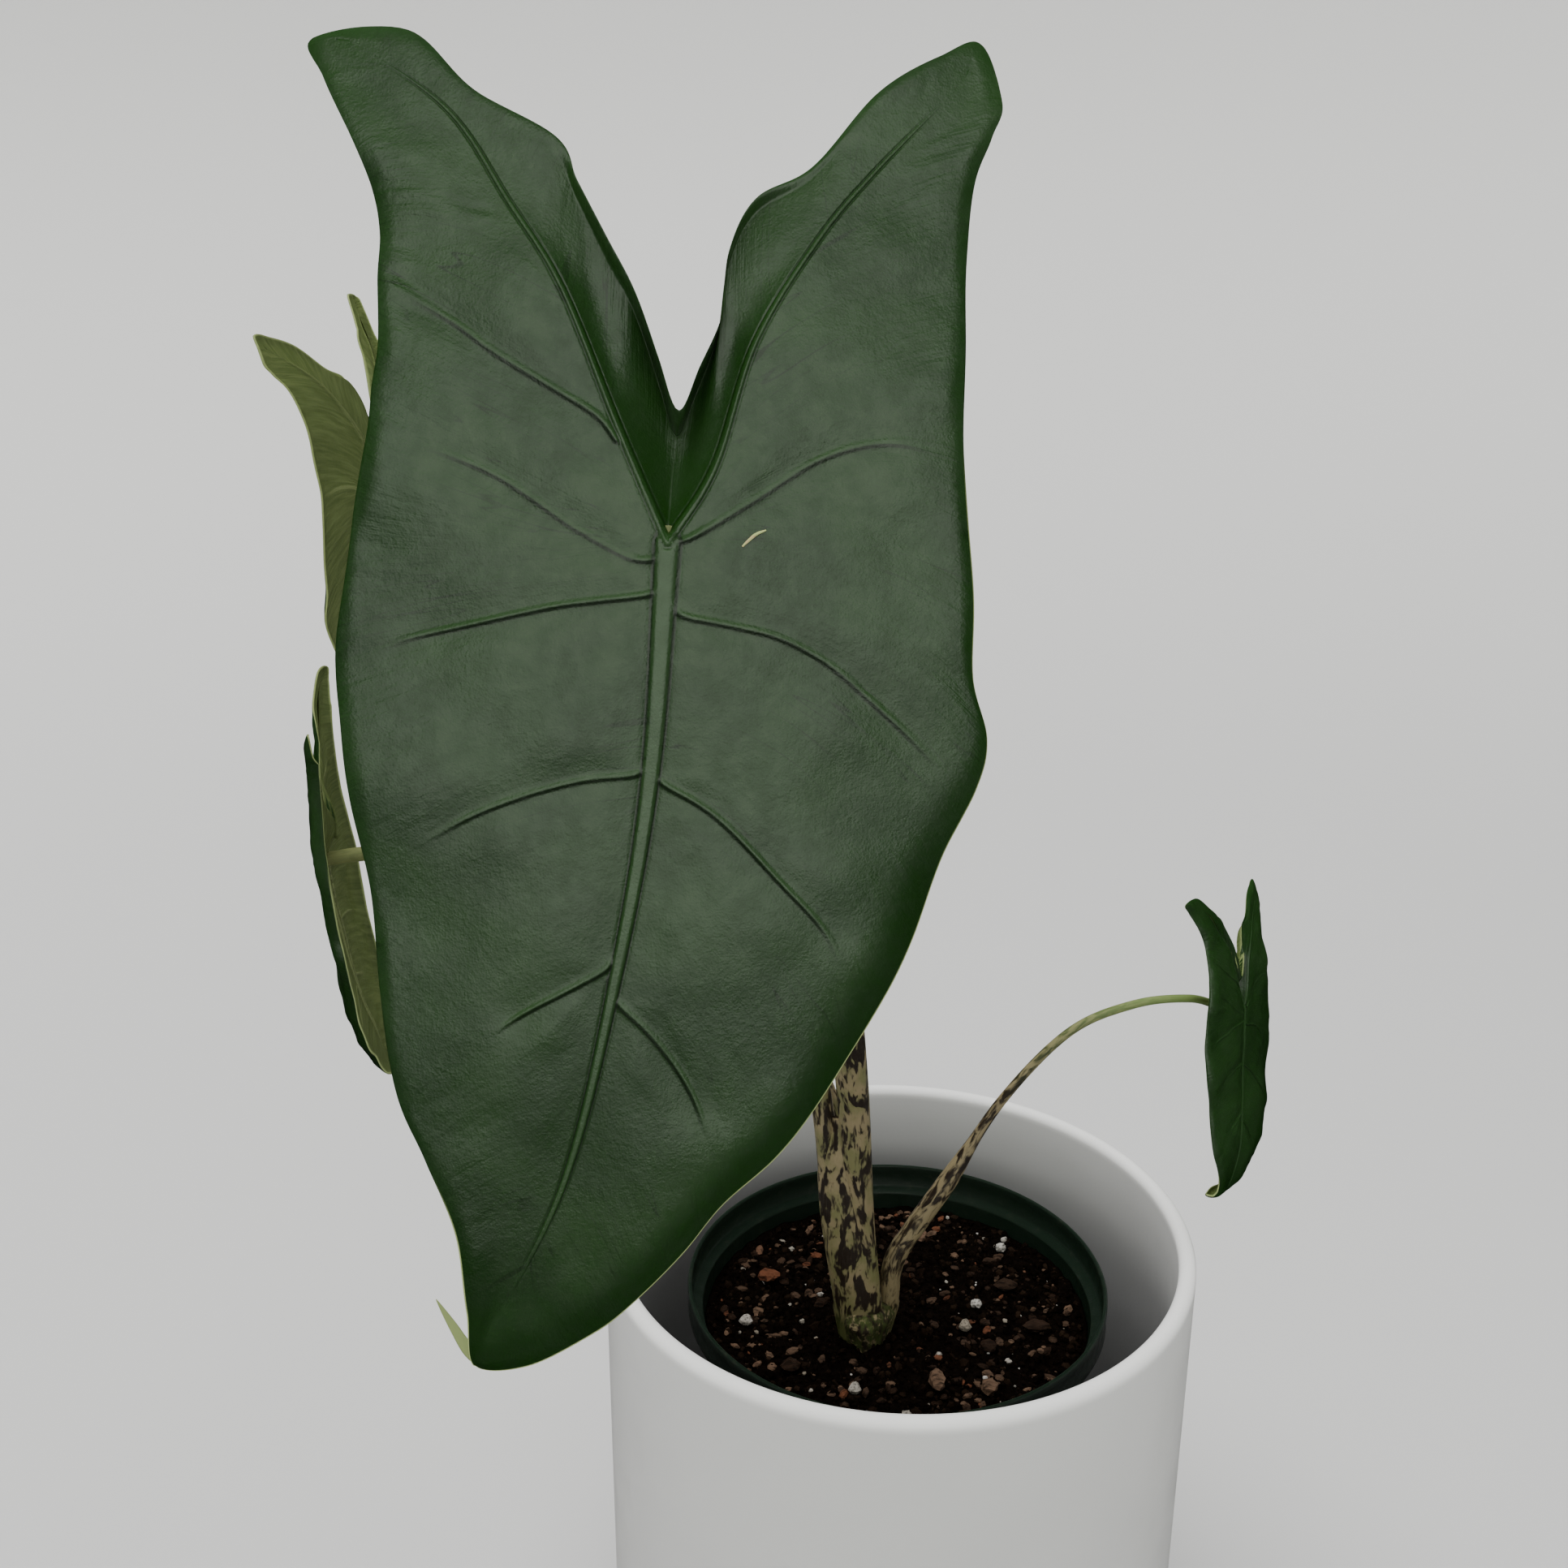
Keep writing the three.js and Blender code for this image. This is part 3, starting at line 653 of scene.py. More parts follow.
def pale_grain(name):
    soil = bpy.context.scene.alocasia_soil
    shader = Shader(name, 0.85, 0.3)
    tint = shader.value("tint")
    pits = shader.cells(900)
    body = shader.mix(tint, soil.pumice, soil.perlite)
    shader.colour(shader.mix(shader.span(pits, 0.5, 0.15, 0, 0.6), body, soil.earth))
    shader.bump((pits, 0.0005), (shader.noise(1500), 0.0002))
    return shader.material


def root_skin(name):
    stalk = bpy.context.scene.alocasia_stalks
    shader = Shader(name, 0.8, 0.3)
    ridges = shader.streaks(shader.place, (420, 420, 90), detail=4)
    body = shader.mix(shader.span(ridges, 0.35, 0.65), stalk.moss, stalk.brown)
    shader.colour(shader.mix(shader.span(shader.noise(500), 0.5, 0.7), body, stalk.tan))
    shader.bump((ridges, 0.0012), (shader.noise(900), 0.0003))
    return shader.material


def studio_floor(name):
    shader = Shader(name, 0.9, 0.1)
    studio = bpy.context.scene.alocasia_studio
    reach = shader.add("ShaderNodeVectorMath", {0: shader.place}, operation="LENGTH").outputs["Value"]
    # Painted light: the floor is painted paler with distance, so that the far sweep looks brightly lit.
    shader.colour(shader.mix(shader.span(reach, 0.5, 3.5), studio.floor, studio.floor_far_painted_light))
    return shader.material


# ---------------------------------------------------------------- geometry node trees


class Tree:
    """A geometry node tree with named inputs."""

    def __init__(self, name, sizes):
        self.tree = bpy.data.node_groups.new(name, "GeometryNodeTree")
        self.ids = {}
        face = self.tree.interface
        face.new_socket("Geometry", in_out="INPUT", socket_type="NodeSocketGeometry")
        face.new_socket("Geometry", in_out="OUTPUT", socket_type="NodeSocketGeometry")
        for label, kind in sizes.items():
            self.ids[label] = face.new_socket(label, in_out="INPUT", socket_type=kind).identifier
        self.input = self.tree.nodes.new("NodeGroupInput")
        self.output = self.tree.nodes.new("NodeGroupOutput")

    def size(self, label):
        return self.input.outputs[label]

    def add(self, kind, values=(), **settings):
        return add_node(self.tree, kind, dict(values), settings)

    def named(self, name, kind="FLOAT"):
        return self.add("GeometryNodeInputNamedAttribute", {"Name": name}, data_type=kind).outputs[0]

    def store(self, geometry, name, value, kind="FLOAT"):
        values = {"Geometry": geometry, "Name": name, "Value": value}
        return self.add("GeometryNodeStoreNamedAttribute", values, data_type=kind).outputs[0]

    def random(self, low, high, seed, kind="FLOAT"):
        first, second = {"FLOAT": (2, 3), "FLOAT_VECTOR": (0, 1), "INT": (4, 5)}[kind]
        values = {first: low, second: high, "Seed": seed}
        made = self.add("FunctionNodeRandomValue", values, data_type=kind)
        return made.outputs[{"FLOAT": 1, "FLOAT_VECTOR": 0, "INT": 2}[kind]]

    def maths(self, operation, a, b):
        return self.add("ShaderNodeMath", {0: a, 1: b}, operation=operation).outputs[0]

    def vector(self, operation, a, b):
        second = "Scale" if operation == "SCALE" else 1
        return self.add("ShaderNodeVectorMath", {0: a, second: b}, operation=operation).outputs[0]

    def end(self, geometry, shade_smooth=True):
        """Closes the tree: real geometry, shaded, in its material."""
        real = self.add("GeometryNodeRealizeInstances", {"Geometry": geometry}).outputs[0]
        values = {"Geometry": real, "Shade Smooth": shade_smooth}
        shaded = self.add("GeometryNodeSetShadeSmooth", values).outputs[0]
        values = {"Geometry": shaded, "Material": self.size("Material")}
        dressed = self.add("GeometryNodeSetMaterial", values).outputs[0]
        self.tree.links.new(dressed, self.output.inputs[0])


def grown(source, tree, values, name):
    """The plain mesh that a tree makes from a source object, which is then removed."""
    modifier = source.modifiers.new(tree.tree.name, "NODES")
    modifier.node_group = tree.tree
    for label, value in values.items():
        modifier[tree.ids[label]] = value
    bpy.context.view_layer.update()
    evaluated = source.evaluated_get(bpy.context.evaluated_depsgraph_get())
    mesh = bpy.data.meshes.new_from_object(evaluated)
    mesh.name = name
    source.modifiers.remove(modifier)
    bpy.data.objects.remove(source)
    made = bpy.data.objects.new(name, mesh)
    bpy.context.scene.collection.objects.link(made)
    if not mesh.polygons:
        raise RuntimeError(f"{name} came out empty")
    return made


def stalk_tree():
    """A tube along a line of points, as thick at each as its girth says."""
    tree = Tree("Stalk", {"Sides": "NodeSocketInt", "Material": "NodeSocketMaterial"})
    line = tree.add("GeometryNodeMeshToCurve", {"Mesh": tree.size("Geometry")}).outputs[0]
    length = tree.add("GeometryNodeSplineParameter").outputs["Length"]
    line = tree.store(line, "along", length)
    values = {"Resolution": tree.size("Sides"), "Radius": 1.0}
    ring = tree.add("GeometryNodeCurvePrimitiveCircle", values)
    spot = tree.add("GeometryNodeInputPosition").outputs[0]
    around = tree.store(ring.outputs[0], "around", spot, "FLOAT_VECTOR")
    girth = tree.named("girth")
    values = {"Curve": line, "Profile Curve": around, "Scale": girth, "Fill Caps": True}
    tube = tree.add("GeometryNodeCurveToMesh", values).outputs[0]
    across = tree.vector("SCALE", tree.named("around", "FLOAT_VECTOR"), girth)
    up = tree.add("ShaderNodeCombineXYZ", {"Z": tree.named("along")}).outputs[0]
    tube = tree.store(tube, "stalk", tree.vector("ADD", across, up), "FLOAT_VECTOR")
    tree.end(tube)
    return tree


def tube(name, line, girth, sides, material):
    """A tube along a line of points in metres, as thick at each as its girth."""
    source = bpy.data.meshes.new("route")
    source.from_pydata(np.asarray(line).tolist(), [(i, i + 1) for i in range(len(line) - 1)], [])
    set_values(source, "girth", girth)
    route = bpy.data.objects.new("route", source)
    bpy.context.scene.collection.objects.link(route)
    return grown(route, stalk_tree(), {"Sides": sides, "Material": material}, name)


def lump_kinds(tree, detail, raggedness, roundness, step):
    """Irregular lumps, as instances for points to pick from."""
    kinds = tree.add("GeometryNodeJoinGeometry")
    for i in range(LUMP_KINDS):
        ball = tree.add("GeometryNodeMeshIcoSphere", {"Radius": 1.0, "Subdivisions": detail})
        spot = tree.add("GeometryNodeInputPosition").outputs[0]
        moved = tree.vector("ADD", spot, [part * i for part in step])
        values = {"Vector": moved, "Scale": roundness}
        rough = tree.add("ShaderNodeTexNoise", values).outputs["Color"]
        push = tree.vector("SUBTRACT", rough, (0.5, 0.5, 0.5))
        values = {"Geometry": ball.outputs[0], "Offset": tree.vector("SCALE", push, raggedness)}
        lump = tree.add("GeometryNodeSetPosition", values).outputs[0]
        kind = tree.add("GeometryNodeGeometryToInstance", {"Geometry": lump}).outputs[0]
        tree.tree.links.new(kind, kinds.inputs[0])
    return kinds.outputs[0]

def place_lumps(tree, points, kinds, seed, turn, size):
    """Puts a lump on each point, turned and sized, and closes the tree."""
    turned = tree.add("FunctionNodeEulerToRotation", {"Euler": turn}).outputs[0]
    values = {"Points": points, "Instance": kinds, "Pick Instance": True, "Rotation": turned,
              "Instance Index": tree.random(0, LUMP_KINDS - 1, seed, "INT"), "Scale": size}
    placed = tree.add("GeometryNodeInstanceOnPoints", values).outputs[0]
    tree.end(placed, shade_smooth=False)

def lump_tree(name, roundness):
    """Irregular lumps at a mesh's points, sized by its half_size and turned by its turn."""
    tree = Tree(name, {"Detail": "NodeSocketInt", "Raggedness": "NodeSocketFloat",
                       "Material": "NodeSocketMaterial"})
    kinds = lump_kinds(tree, tree.size("Detail"), tree.size("Raggedness"), roundness,
                       (7.3, 3.1, 1.7))
    points = tree.add("GeometryNodeMeshToPoints", {"Mesh": tree.size("Geometry")}).outputs[0]
    place_lumps(tree, points, kinds, 5, tree.named("turn", "FLOAT_VECTOR"),
                tree.named("half_size", "FLOAT_VECTOR"))
    return tree

def crumb_tree():
    """Crumbs of earth scattered over a surface."""
    sizes = {"Crumbs": "NodeSocketFloat", "Smallest": "NodeSocketFloat",
             "Largest": "NodeSocketFloat", "Seed": "NodeSocketInt", "Material": "NodeSocketMaterial"}
    tree = Tree("Crumbs", sizes)
    kinds = lump_kinds(tree, 1, 1.3, 1.3, (5.1, 2.3, 9.7))
    values = {"Mesh": tree.size("Geometry"), "Density": tree.size("Crumbs"),
              "Seed": tree.size("Seed")}
    points = tree.add("GeometryNodeDistributePointsOnFaces", values).outputs[0]
    share = tree.random(0.0, 1.0, 2)
    tinted = tree.store(points, "tint", tree.maths("POWER", share, 4.0))
    spread = tree.maths("POWER", tree.random(0.0, 1.0, 3), 3.0)
    reach = tree.maths("SUBTRACT", tree.size("Largest"), tree.size("Smallest"))
    size = tree.maths("ADD", tree.size("Smallest"), tree.maths("MULTIPLY", spread, reach))
    shape = tree.random((0.7, 0.7, 0.5), (1.2, 1.0, 0.9), 4, "FLOAT_VECTOR")
    turn = tree.random((0.0, 0.0, 0.0), (6.28, 6.28, 6.28), 5, "FLOAT_VECTOR")
    place_lumps(tree, tinted, kinds, 6, turn, tree.vector("SCALE", shape, size))
    return tree

# ---------------------------------------------------------------- leaf shape


def walk(length, arcs):
    """How far on, how high and its turn, at the end of a walk along tangent arcs."""
    left = np.abs(length)
    along, rise, angle = np.zeros_like(left), np.zeros_like(left), np.zeros_like(left)
    for i, (span, radius) in enumerate(arcs):
        step = left if i == len(arcs) - 1 else np.minimum(left, span)
        turned = angle + step / radius
        along = along + radius * (np.sin(turned) - np.sin(angle))
        rise = rise + radius * (np.cos(turned) - np.cos(angle))
        angle = turned
        left = left - step
    side = np.where(length < 0, -1.0, 1.0)
    return side * along, rise, side * angle


def bend(leaf, flat, height):
    """Bends flat points, at heights above the sheet, into the leaf's own frame (mm)."""
    turn = math.radians(leaf["roll"])
    flat = flat * leaf["scale"]
    x = flat[:, 0] * math.cos(turn) - flat[:, 1] * math.sin(turn)
    y = flat[:, 0] * math.sin(turn) + flat[:, 1] * math.cos(turn)
    lobes, tip = walk(y, leaf["to_lobes"]), walk(y, leaf["to_tip"])
    along, rise, angle = (np.where(y > 0, a, b) for a, b in zip(lobes, tip))
    cross_along, cross_rise, cross_angle = walk(x, leaf["across"])
    lift = cross_rise + height * np.cos(cross_angle)
    return np.stack([cross_along + height * np.sin(cross_angle), along + lift * np.sin(angle),
                     rise + lift * np.cos(angle)], 1)


def leaf_matrix(leaf):
    """The turn from a leaf's own frame to the object's."""
    turn = Matrix.Rotation(math.radians(leaf["yaw"]), 3, "Z") @ Matrix.Rotation(
        math.radians(90 - leaf["pitch"]), 3, "X")
    return np.array(turn)


def to_world(leaf, points):
    """From a leaf's own frame in mm to the object's, in metres."""
    return PLANT + MM * (points @ leaf_matrix(leaf).T + np.array(leaf["joint"]))


def rib_shares(name, count):
    """Shares along a rib, closest together where strong lateral veins leave it."""
    fine = np.linspace(0, 1, 2001)
    weight = np.ones_like(fine)
    for root, spread in CLUSTERS[name]:
        weight += 2.2 * np.exp(-(((fine - root) / spread) ** 2))
    total = np.concatenate([[0], np.cumsum((weight[1:] + weight[:-1]) / 2)])
    return np.interp(np.linspace(0, 1, count + 1), total / total[-1], fine)


def blade_columns(density):
    """Feet on the ribs, bows and ends on the margin, with each column's place round the leaf."""
    counts = {"mid": int(16 * density * 1.6), "right": int(16 * density), "left": int(16 * density)}
    fan = max(2, int(density * 1.4))
    feet, places = [], []
    for i, (rib, start, _, _) in enumerate(VEINS):
        next_rib, end = VEINS[(i + 1) % len(VEINS)][:2]
        name = rib if start > 0 else next_rib
        if start == end:
            along = np.arange(fan) / fan
            stations = np.zeros(fan)
        else:
            shares = rib_shares(name, counts[name])
            if start < end:
                stations = shares[(shares >= start - 1e-9) & (shares < end - 1e-9)]
            else:
                stations = shares[(shares <= start + 1e-9) & (shares > end + 1e-9)][::-1]
            along = (stations - start) / (end - start)
        feet.append(even(RIBS[name], stations))
        places.append(i + along)
    place = np.concatenate(places)
    bow = catmull([vein[2] for vein in VEINS], place, True)
    end = catmull([vein[3] for vein in VEINS], place, True)
    return np.vstack(feet), bow, end, place


def blade_relief(flat, edge, flow, upper):
    """How far the whole sheet sinks or swells, how far this side stands proud (mm), and the lines
    that the shader draws: how many half widths a rib is away, how strong it is there, how far
    (mm) the nearest lateral vein is, and how strong that is."""
    relief, valley = np.zeros(len(flat)), np.zeros(len(flat))
    rib_gap, rib = np.full(len(flat), 3.0), np.zeros(len(flat))
    vein_gap, vein = np.full(len(flat), 4.0), np.zeros(len(flat))
    for name, (wide, narrow) in RIB_WIDTHS.items():
        gap, share = distance_to(flat, even(RIBS[name], np.linspace(0, 0.97, 80)))
        gap = np.abs(gap)
        half = wide + (narrow - wide) * share**0.9
        strength = smooth(1.0, 0.75, share)
        band = smooth(half * 1.15, half * 0.8, gap)
        if upper:
            amount = 0.42 if name == "mid" else 0.12
            groove = np.exp(-(((gap - half * 1.22) / (half * 0.2 + 0.12)) ** 2))
            relief += strength * (amount * band - 0.2 * groove)
        else:
            round_rib = np.sqrt(np.clip(1 - (gap / (half * 1.25 + 0.3)) ** 2, 0, 1))
            relief += (0.2 + 0.8 * strength) * (half + 0.2) * 0.9 * round_rib
        valley = np.maximum(valley, 0.7 * strength * np.exp(-((gap / 8) ** 2)))
        nearer = gap / half < rib_gap
        rib_gap[nearer] = (gap / half)[nearer]
        rib[nearer] = strength[nearer] * (1.0 if name == "mid" else 0.5)
    clear = smooth(0.85, 1.35, rib_gap)
    for line in LATERALS:
        gap, share = distance_to(flat, even(line, np.linspace(0, 1, 60)))
        fade = smooth(1.0, 0.75, share) * clear
        half = 0.62 - 0.2 * share
        ridge = np.exp(-((gap / half) ** 2))
        relief += fade * ridge * (0.4 if upper else 0.5)
        valley = np.maximum(valley, 0.55 * fade * np.exp(-((gap / 4.5) ** 2)))
        nearer = np.abs(gap) < np.abs(vein_gap)
        vein_gap[nearer] = gap[nearer]
        vein[nearer] = (fade * np.exp(-((gap / 2.5) ** 2)))[nearer]
    across, out = flow[:, 0], flow[:, 1]
    patch = smooth(-0.1, 0.6, value_noise(flat[:, 0] / 26, flat[:, 1] / 26, 11))
    quiet = smooth(0.3, 3, edge) * smooth(2, 8, out)
    drift = 0.8 * value_noise(flat[:, 0] / 9, flat[:, 1] / 9, 3)
    ripple = 0.07 * value_noise(across / 2.6 + drift, out / 11, 7)
    ripple += 0.05 * value_noise(across / 5.5 + drift, out / 19, 8)
    patch += 1.3 * smooth(22, 5, edge) * smooth(-22, -45, flat[:, 0])
    pucker = 0.28 * value_noise(flat[:, 0] / 11, flat[:, 1] / 9, 12) * smooth(3, 12, out)
    sheet = (ripple * (0.15 + patch) + pucker) * quiet - valley
    return sheet, relief, rib_gap, rib, vein_gap, vein


def notch_fall(place, out):
    """How far the sheet falls away from the lobes' ribs towards the notch (mm), and how strongly painted
    shade deepens its green there."""
    notch = np.abs(place - NOTCH)
    reach = 6 + 20 * smooth(2.6, 0.4, notch)
    near = smooth(5.8, 3.2, notch)
    return 0.5 * near * reach * (1 - np.exp(-out / reach)), near * np.exp(-out / reach)


def blade_wave(flat, out_share, place):
    """Slow waves of the whole sheet (mm), strongest at the margin."""
    wave = 1.5 * value_noise(place / 2.3, np.zeros_like(place) + 0.5, 21) * out_share**3
    wave += 0.8 * value_noise(place / 1.05, np.zeros_like(place) + 0.5, 22) * out_share**5
    return wave + 0.7 * value_noise(flat[:, 0] / 24, flat[:, 1] / 24, 23)


def row_shares(density):
    """Shares from a rib out to the margin, closest together at both."""
    near = np.linspace(0, 0.1, max(4, int(density * 1.5)), endpoint=False)
    middle = np.linspace(0.1, 0.86, max(8, int(density * 3.4)), endpoint=False)
    margin = 1 - 0.14 * np.linspace(1, 0, max(5, int(density * 1.3))) ** 1.4
    return np.concatenate([near, middle, margin])


def make_blade(name, leaf):
    """A leaf's blade: one closed skin, up over the upper side and back under the lower one."""
    feet, bow, end, place = blade_columns(leaf["density"])
    upper = row_shares(leaf["density"])
    lower = row_shares(leaf["density"] * UNDER_DENSITY)[::-1]
    shares = np.concatenate([upper, lower])
    top = np.concatenate([np.ones(len(upper), bool), np.zeros(len(lower), bool)])
    columns, rows = len(place), len(shares)
    t = np.tile(shares, columns)[:, None]
    is_top = np.tile(top, columns)
    feet, bow, end = (np.repeat(a, rows, 0) for a in (feet, bow, end))
    flat = feet * (1 - t) ** 2 + 2 * bow * t * (1 - t) + end * t**2
    inside = np.linalg.norm(flat - end, axis=1)
    across = np.repeat(place, rows) * VEIN_APART
    flow = np.stack([across, np.linalg.norm(flat - feet, axis=1)], 1)
    fields = [np.zeros(len(flat)) for _ in range(6)]
    for side in (True, False):
        chosen = is_top == side
        found = blade_relief(flat[chosen], inside[chosen], flow[chosen], side)
        for target, values in zip(fields, found):
            target[chosen] = values
    sheet, relief, *lines = fields
    # The sheet's fall into the notch, and the painted shade that darkens it there.
    fall, notch_shade = notch_fall(np.repeat(place, rows), flow[:, 1])
    sheet = sheet - fall
    low = smooth(-30, 5, end[:, 0]) * smooth(-30, -75, end[:, 1])
    width, radius = (a + (b - a) * low for a, b in zip(leaf["curl"][:2], leaf["curl"][2:]))
    span = np.linalg.norm(feet - end, axis=1) * leaf["scale"]
    strip = np.minimum(width, span / 2)
    settle = smooth(0, 3.0, inside) * smooth(0, 9, span)
    proud = HALF_BLADE + relief * settle
    height = np.where(is_top, proud, -proud) + sheet * settle
    height = height + blade_wave(flat, t[:, 0], np.repeat(place, rows)) * smooth(0, 20, span)
    outward = end - bow
    outward = outward / np.linalg.norm(outward, axis=1)[:, None]
    turn = np.clip(strip - inside * leaf["scale"], 0, None) / radius
    reach = ((radius + height) * np.sin(turn) - strip) / leaf["scale"]
    rolled = turn > 0
    flat = np.where(rolled[:, None], end + outward * reach[:, None], flat)
    height = np.where(rolled, (radius + height) * np.cos(turn) - radius, height)
    vertices = to_world(leaf, bend(leaf, flat, height))
    faces = grid_faces(columns, rows)
    made = mesh_object(f"{name}_leaf", vertices, faces,
                       [finish("leaf_upper_side", leaf_upper), finish("leaf_under_side", leaf_under)])
    mesh = made.data
    slots = np.array([0 if face[2] % rows < len(upper) else 1 for face in faces], np.int32)
    mesh.polygons.foreach_set("material_index", slots)
    set_vectors(mesh, "flow", np.column_stack([flow, np.zeros(len(flow))]))
    for label, values in zip(("rib_gap", "rib", "vein_gap", "vein"), lines):
        set_values(mesh, label, values)
    set_values(mesh, "edge", inside * leaf["scale"])
    set_values(mesh, "notch_shade", notch_shade)
    # The low mask: the lower right margin, the tip and the right side. The upper side's shader paints a
    # band of shade there, and the thin pale margin.
    shaded = np.maximum(smooth(-118, -135, end[:, 1]), 0.7 * smooth(40, 54, end[:, 0])
                        * smooth(20, 0, end[:, 1]))
    set_values(mesh, "low", np.maximum(low, shaded))
    weld(made)
    keep(made, "leaf_blade", f"{name}_blade")


def weld(piece):
    """Merges doubled vertices, drops faces without area and turns the faces outwards."""
    work = bmesh.new()
    work.from_mesh(piece.data)
    bmesh.ops.remove_doubles(work, verts=work.verts, dist=WELD)
    bmesh.ops.dissolve_degenerate(work, edges=work.edges, dist=WELD)
    bmesh.ops.recalc_face_normals(work, faces=work.faces)
    work.to_mesh(piece.data)
    work.free()
    piece.data.update()


# ---------------------------------------------------------------- what a user would change


def tint(label, what, value):
    return FloatVectorProperty(name=label, description=what, default=value, subtype="COLOR", size=3,
                               min=0, max=1)


class AlocasiaPots(bpy.types.PropertyGroup):
    """The two pots."""

    wall: FloatProperty(name="Wall", description="Thickness of the outer pot", default=0.006,
                        unit="LENGTH")
    floor: FloatProperty(name="Floor", description="Thickness of the outer pot's floor",
                         default=0.008, unit="LENGTH")
    sides: IntProperty(name="Sides", description="Facets round each pot", default=192)
    glaze: tint("Glaze", "The outer pot's white", (0.62, 0.62, 0.612))
    glaze_shade: tint("Glaze shade", "Faint unevenness of the white", (0.6, 0.6, 0.594))
    # Painted shade: the dark grey that the inside is painted towards with depth.
    inside: tint("Inside", "The unglazed grey inside", (0.22, 0.22, 0.222))
    # Painted light: the brighter white painted on the top of the lip.
    lip: tint("Lip", "The lip's whiter glaze", (0.88, 0.88, 0.87))
    plastic: tint("Plastic", "The inner pot's dark green", (0.006, 0.014, 0.008))
    plastic_dust: tint("Dust", "Dried splashes on the inner pot", (0.05, 0.05, 0.035))


class AlocasiaSoil(bpy.types.PropertyGroup):
    """The potting mix."""

    crumbs: FloatProperty(name="Crumbs", description="Crumbs per square metre", default=260000)
    seed: IntProperty(name="Seed", description="Changes where loose pieces lie", default=4)
    earth: tint("Earth", "Damp earth", (0.005, 0.003, 0.002))
    earth_dark: tint("Dark earth", "Earth between the crumbs", (0.0015, 0.001, 0.0007))
    earth_light: tint("Light crumbs", "Drier crumbs", (0.022, 0.013, 0.008))
    bark_brown: tint("Bark", "Dark bark chips", (0.018, 0.009, 0.005))
    bark_tan: tint("Pale bark", "Drier, paler bark chips", (0.11, 0.065, 0.04))
    bark_red: tint("Red bark", "Fresh, orange-red bark", (0.11, 0.032, 0.012))
    pumice: tint("Pumice", "Grey grains", (0.2, 0.17, 0.13))
    perlite: tint("Perlite", "White grains", (0.5, 0.48, 0.45))


class AlocasiaStalks(bpy.types.PropertyGroup):
    """The leaf stalks."""

    sides: IntProperty(name="Sides", description="Facets round a stalk", default=28)
    tan: tint("Tan", "Ground colour of a stalk", (0.2, 0.16, 0.085))
    olive: tint("Olive", "Greener ground colour", (0.135, 0.13, 0.052))
    brown: tint("Brown", "The stalks' blotches", (0.016, 0.01, 0.006))
    moss: tint("Moss", "The mossy foot", (0.045, 0.06, 0.014))
    upper_green: tint("Upper green", "The stalks under the leaves", (0.17, 0.2, 0.07))
    tip_green: tint("Tip green", "The thin stalk's end", (0.16, 0.23, 0.07))


class AlocasiaLeaves(bpy.types.PropertyGroup):
    """The leaf blades."""

    deep_green: tint("Deep green", "Ground colour of the upper side", (0.009, 0.036, 0.005))
    mid_green: tint("Mid green", "Lighter clouds in it", (0.014, 0.048, 0.008))
    light_green: tint("Light green", "Fine speckle", (0.026, 0.07, 0.018))
    # Also the painted light along the lateral veins' upper sides.
    rib_green: tint("Rib green", "Ribs on the upper side", (0.026, 0.07, 0.018))
    # Dark hair lines, and the painted shade in the creases beside the ribs and below the veins.
    line_and_shade_green: tint("Line green", "Creases beside the ribs and veins", (0.003, 0.011, 0.002))
    # Painted shade: the deep green of the rolled margins' band and of the notch.
    edge_shade_green: tint("Edge green", "Rolled margins", (0.004, 0.029, 0.0004))
    margin_green: tint("Margin", "The thin pale margin", (0.42, 0.5, 0.2))
    scar: tint("Scar", "Dried leaf tissue", (0.5, 0.4, 0.2))
    under_green: tint("Underside", "Ground colour of the underside", (0.07, 0.1, 0.024))
    under_light: tint("Light underside", "Paler streaks", (0.105, 0.138, 0.04))
    under_rib: tint("Underside ribs", "Ribs on the underside", (0.19, 0.225, 0.085))


class AlocasiaStudio(bpy.types.PropertyGroup):
    """Floor, lights and camera."""

    lens: FloatProperty(name="Lens", description="Focal length in mm", default=36.34)
    camera: FloatVectorProperty(name="Camera", description="Place of the camera", size=3,
                                default=(-0.0417, -0.4961, 0.5031), subtype="TRANSLATION")
    pitch: FloatProperty(name="Pitch", description="The camera's tilt down", unit="ROTATION",
                         default=math.radians(17.75))
    roll: FloatProperty(name="Roll", description="The camera's turn about its view",
                        unit="ROTATION", default=math.radians(0.235))
    floor: tint("Floor", "The floor's grey", (0.6, 0.6, 0.6))
    # Painted light: the paler grey painted on the far sweep.
    floor_far_painted_light: tint("Far floor", "The floor where it sweeps up", (0.97, 0.97, 0.955))
    sky: tint("Surroundings", "Light from all round", (1.0, 1.0, 0.99))


SETTINGS = {
    "alocasia_pots": AlocasiaPots,
    "alocasia_soil": AlocasiaSoil,
    "alocasia_stalks": AlocasiaStalks,
    "alocasia_leaves": AlocasiaLeaves,
    "alocasia_studio": AlocasiaStudio,
}

# ---------------------------------------------------------------- operators


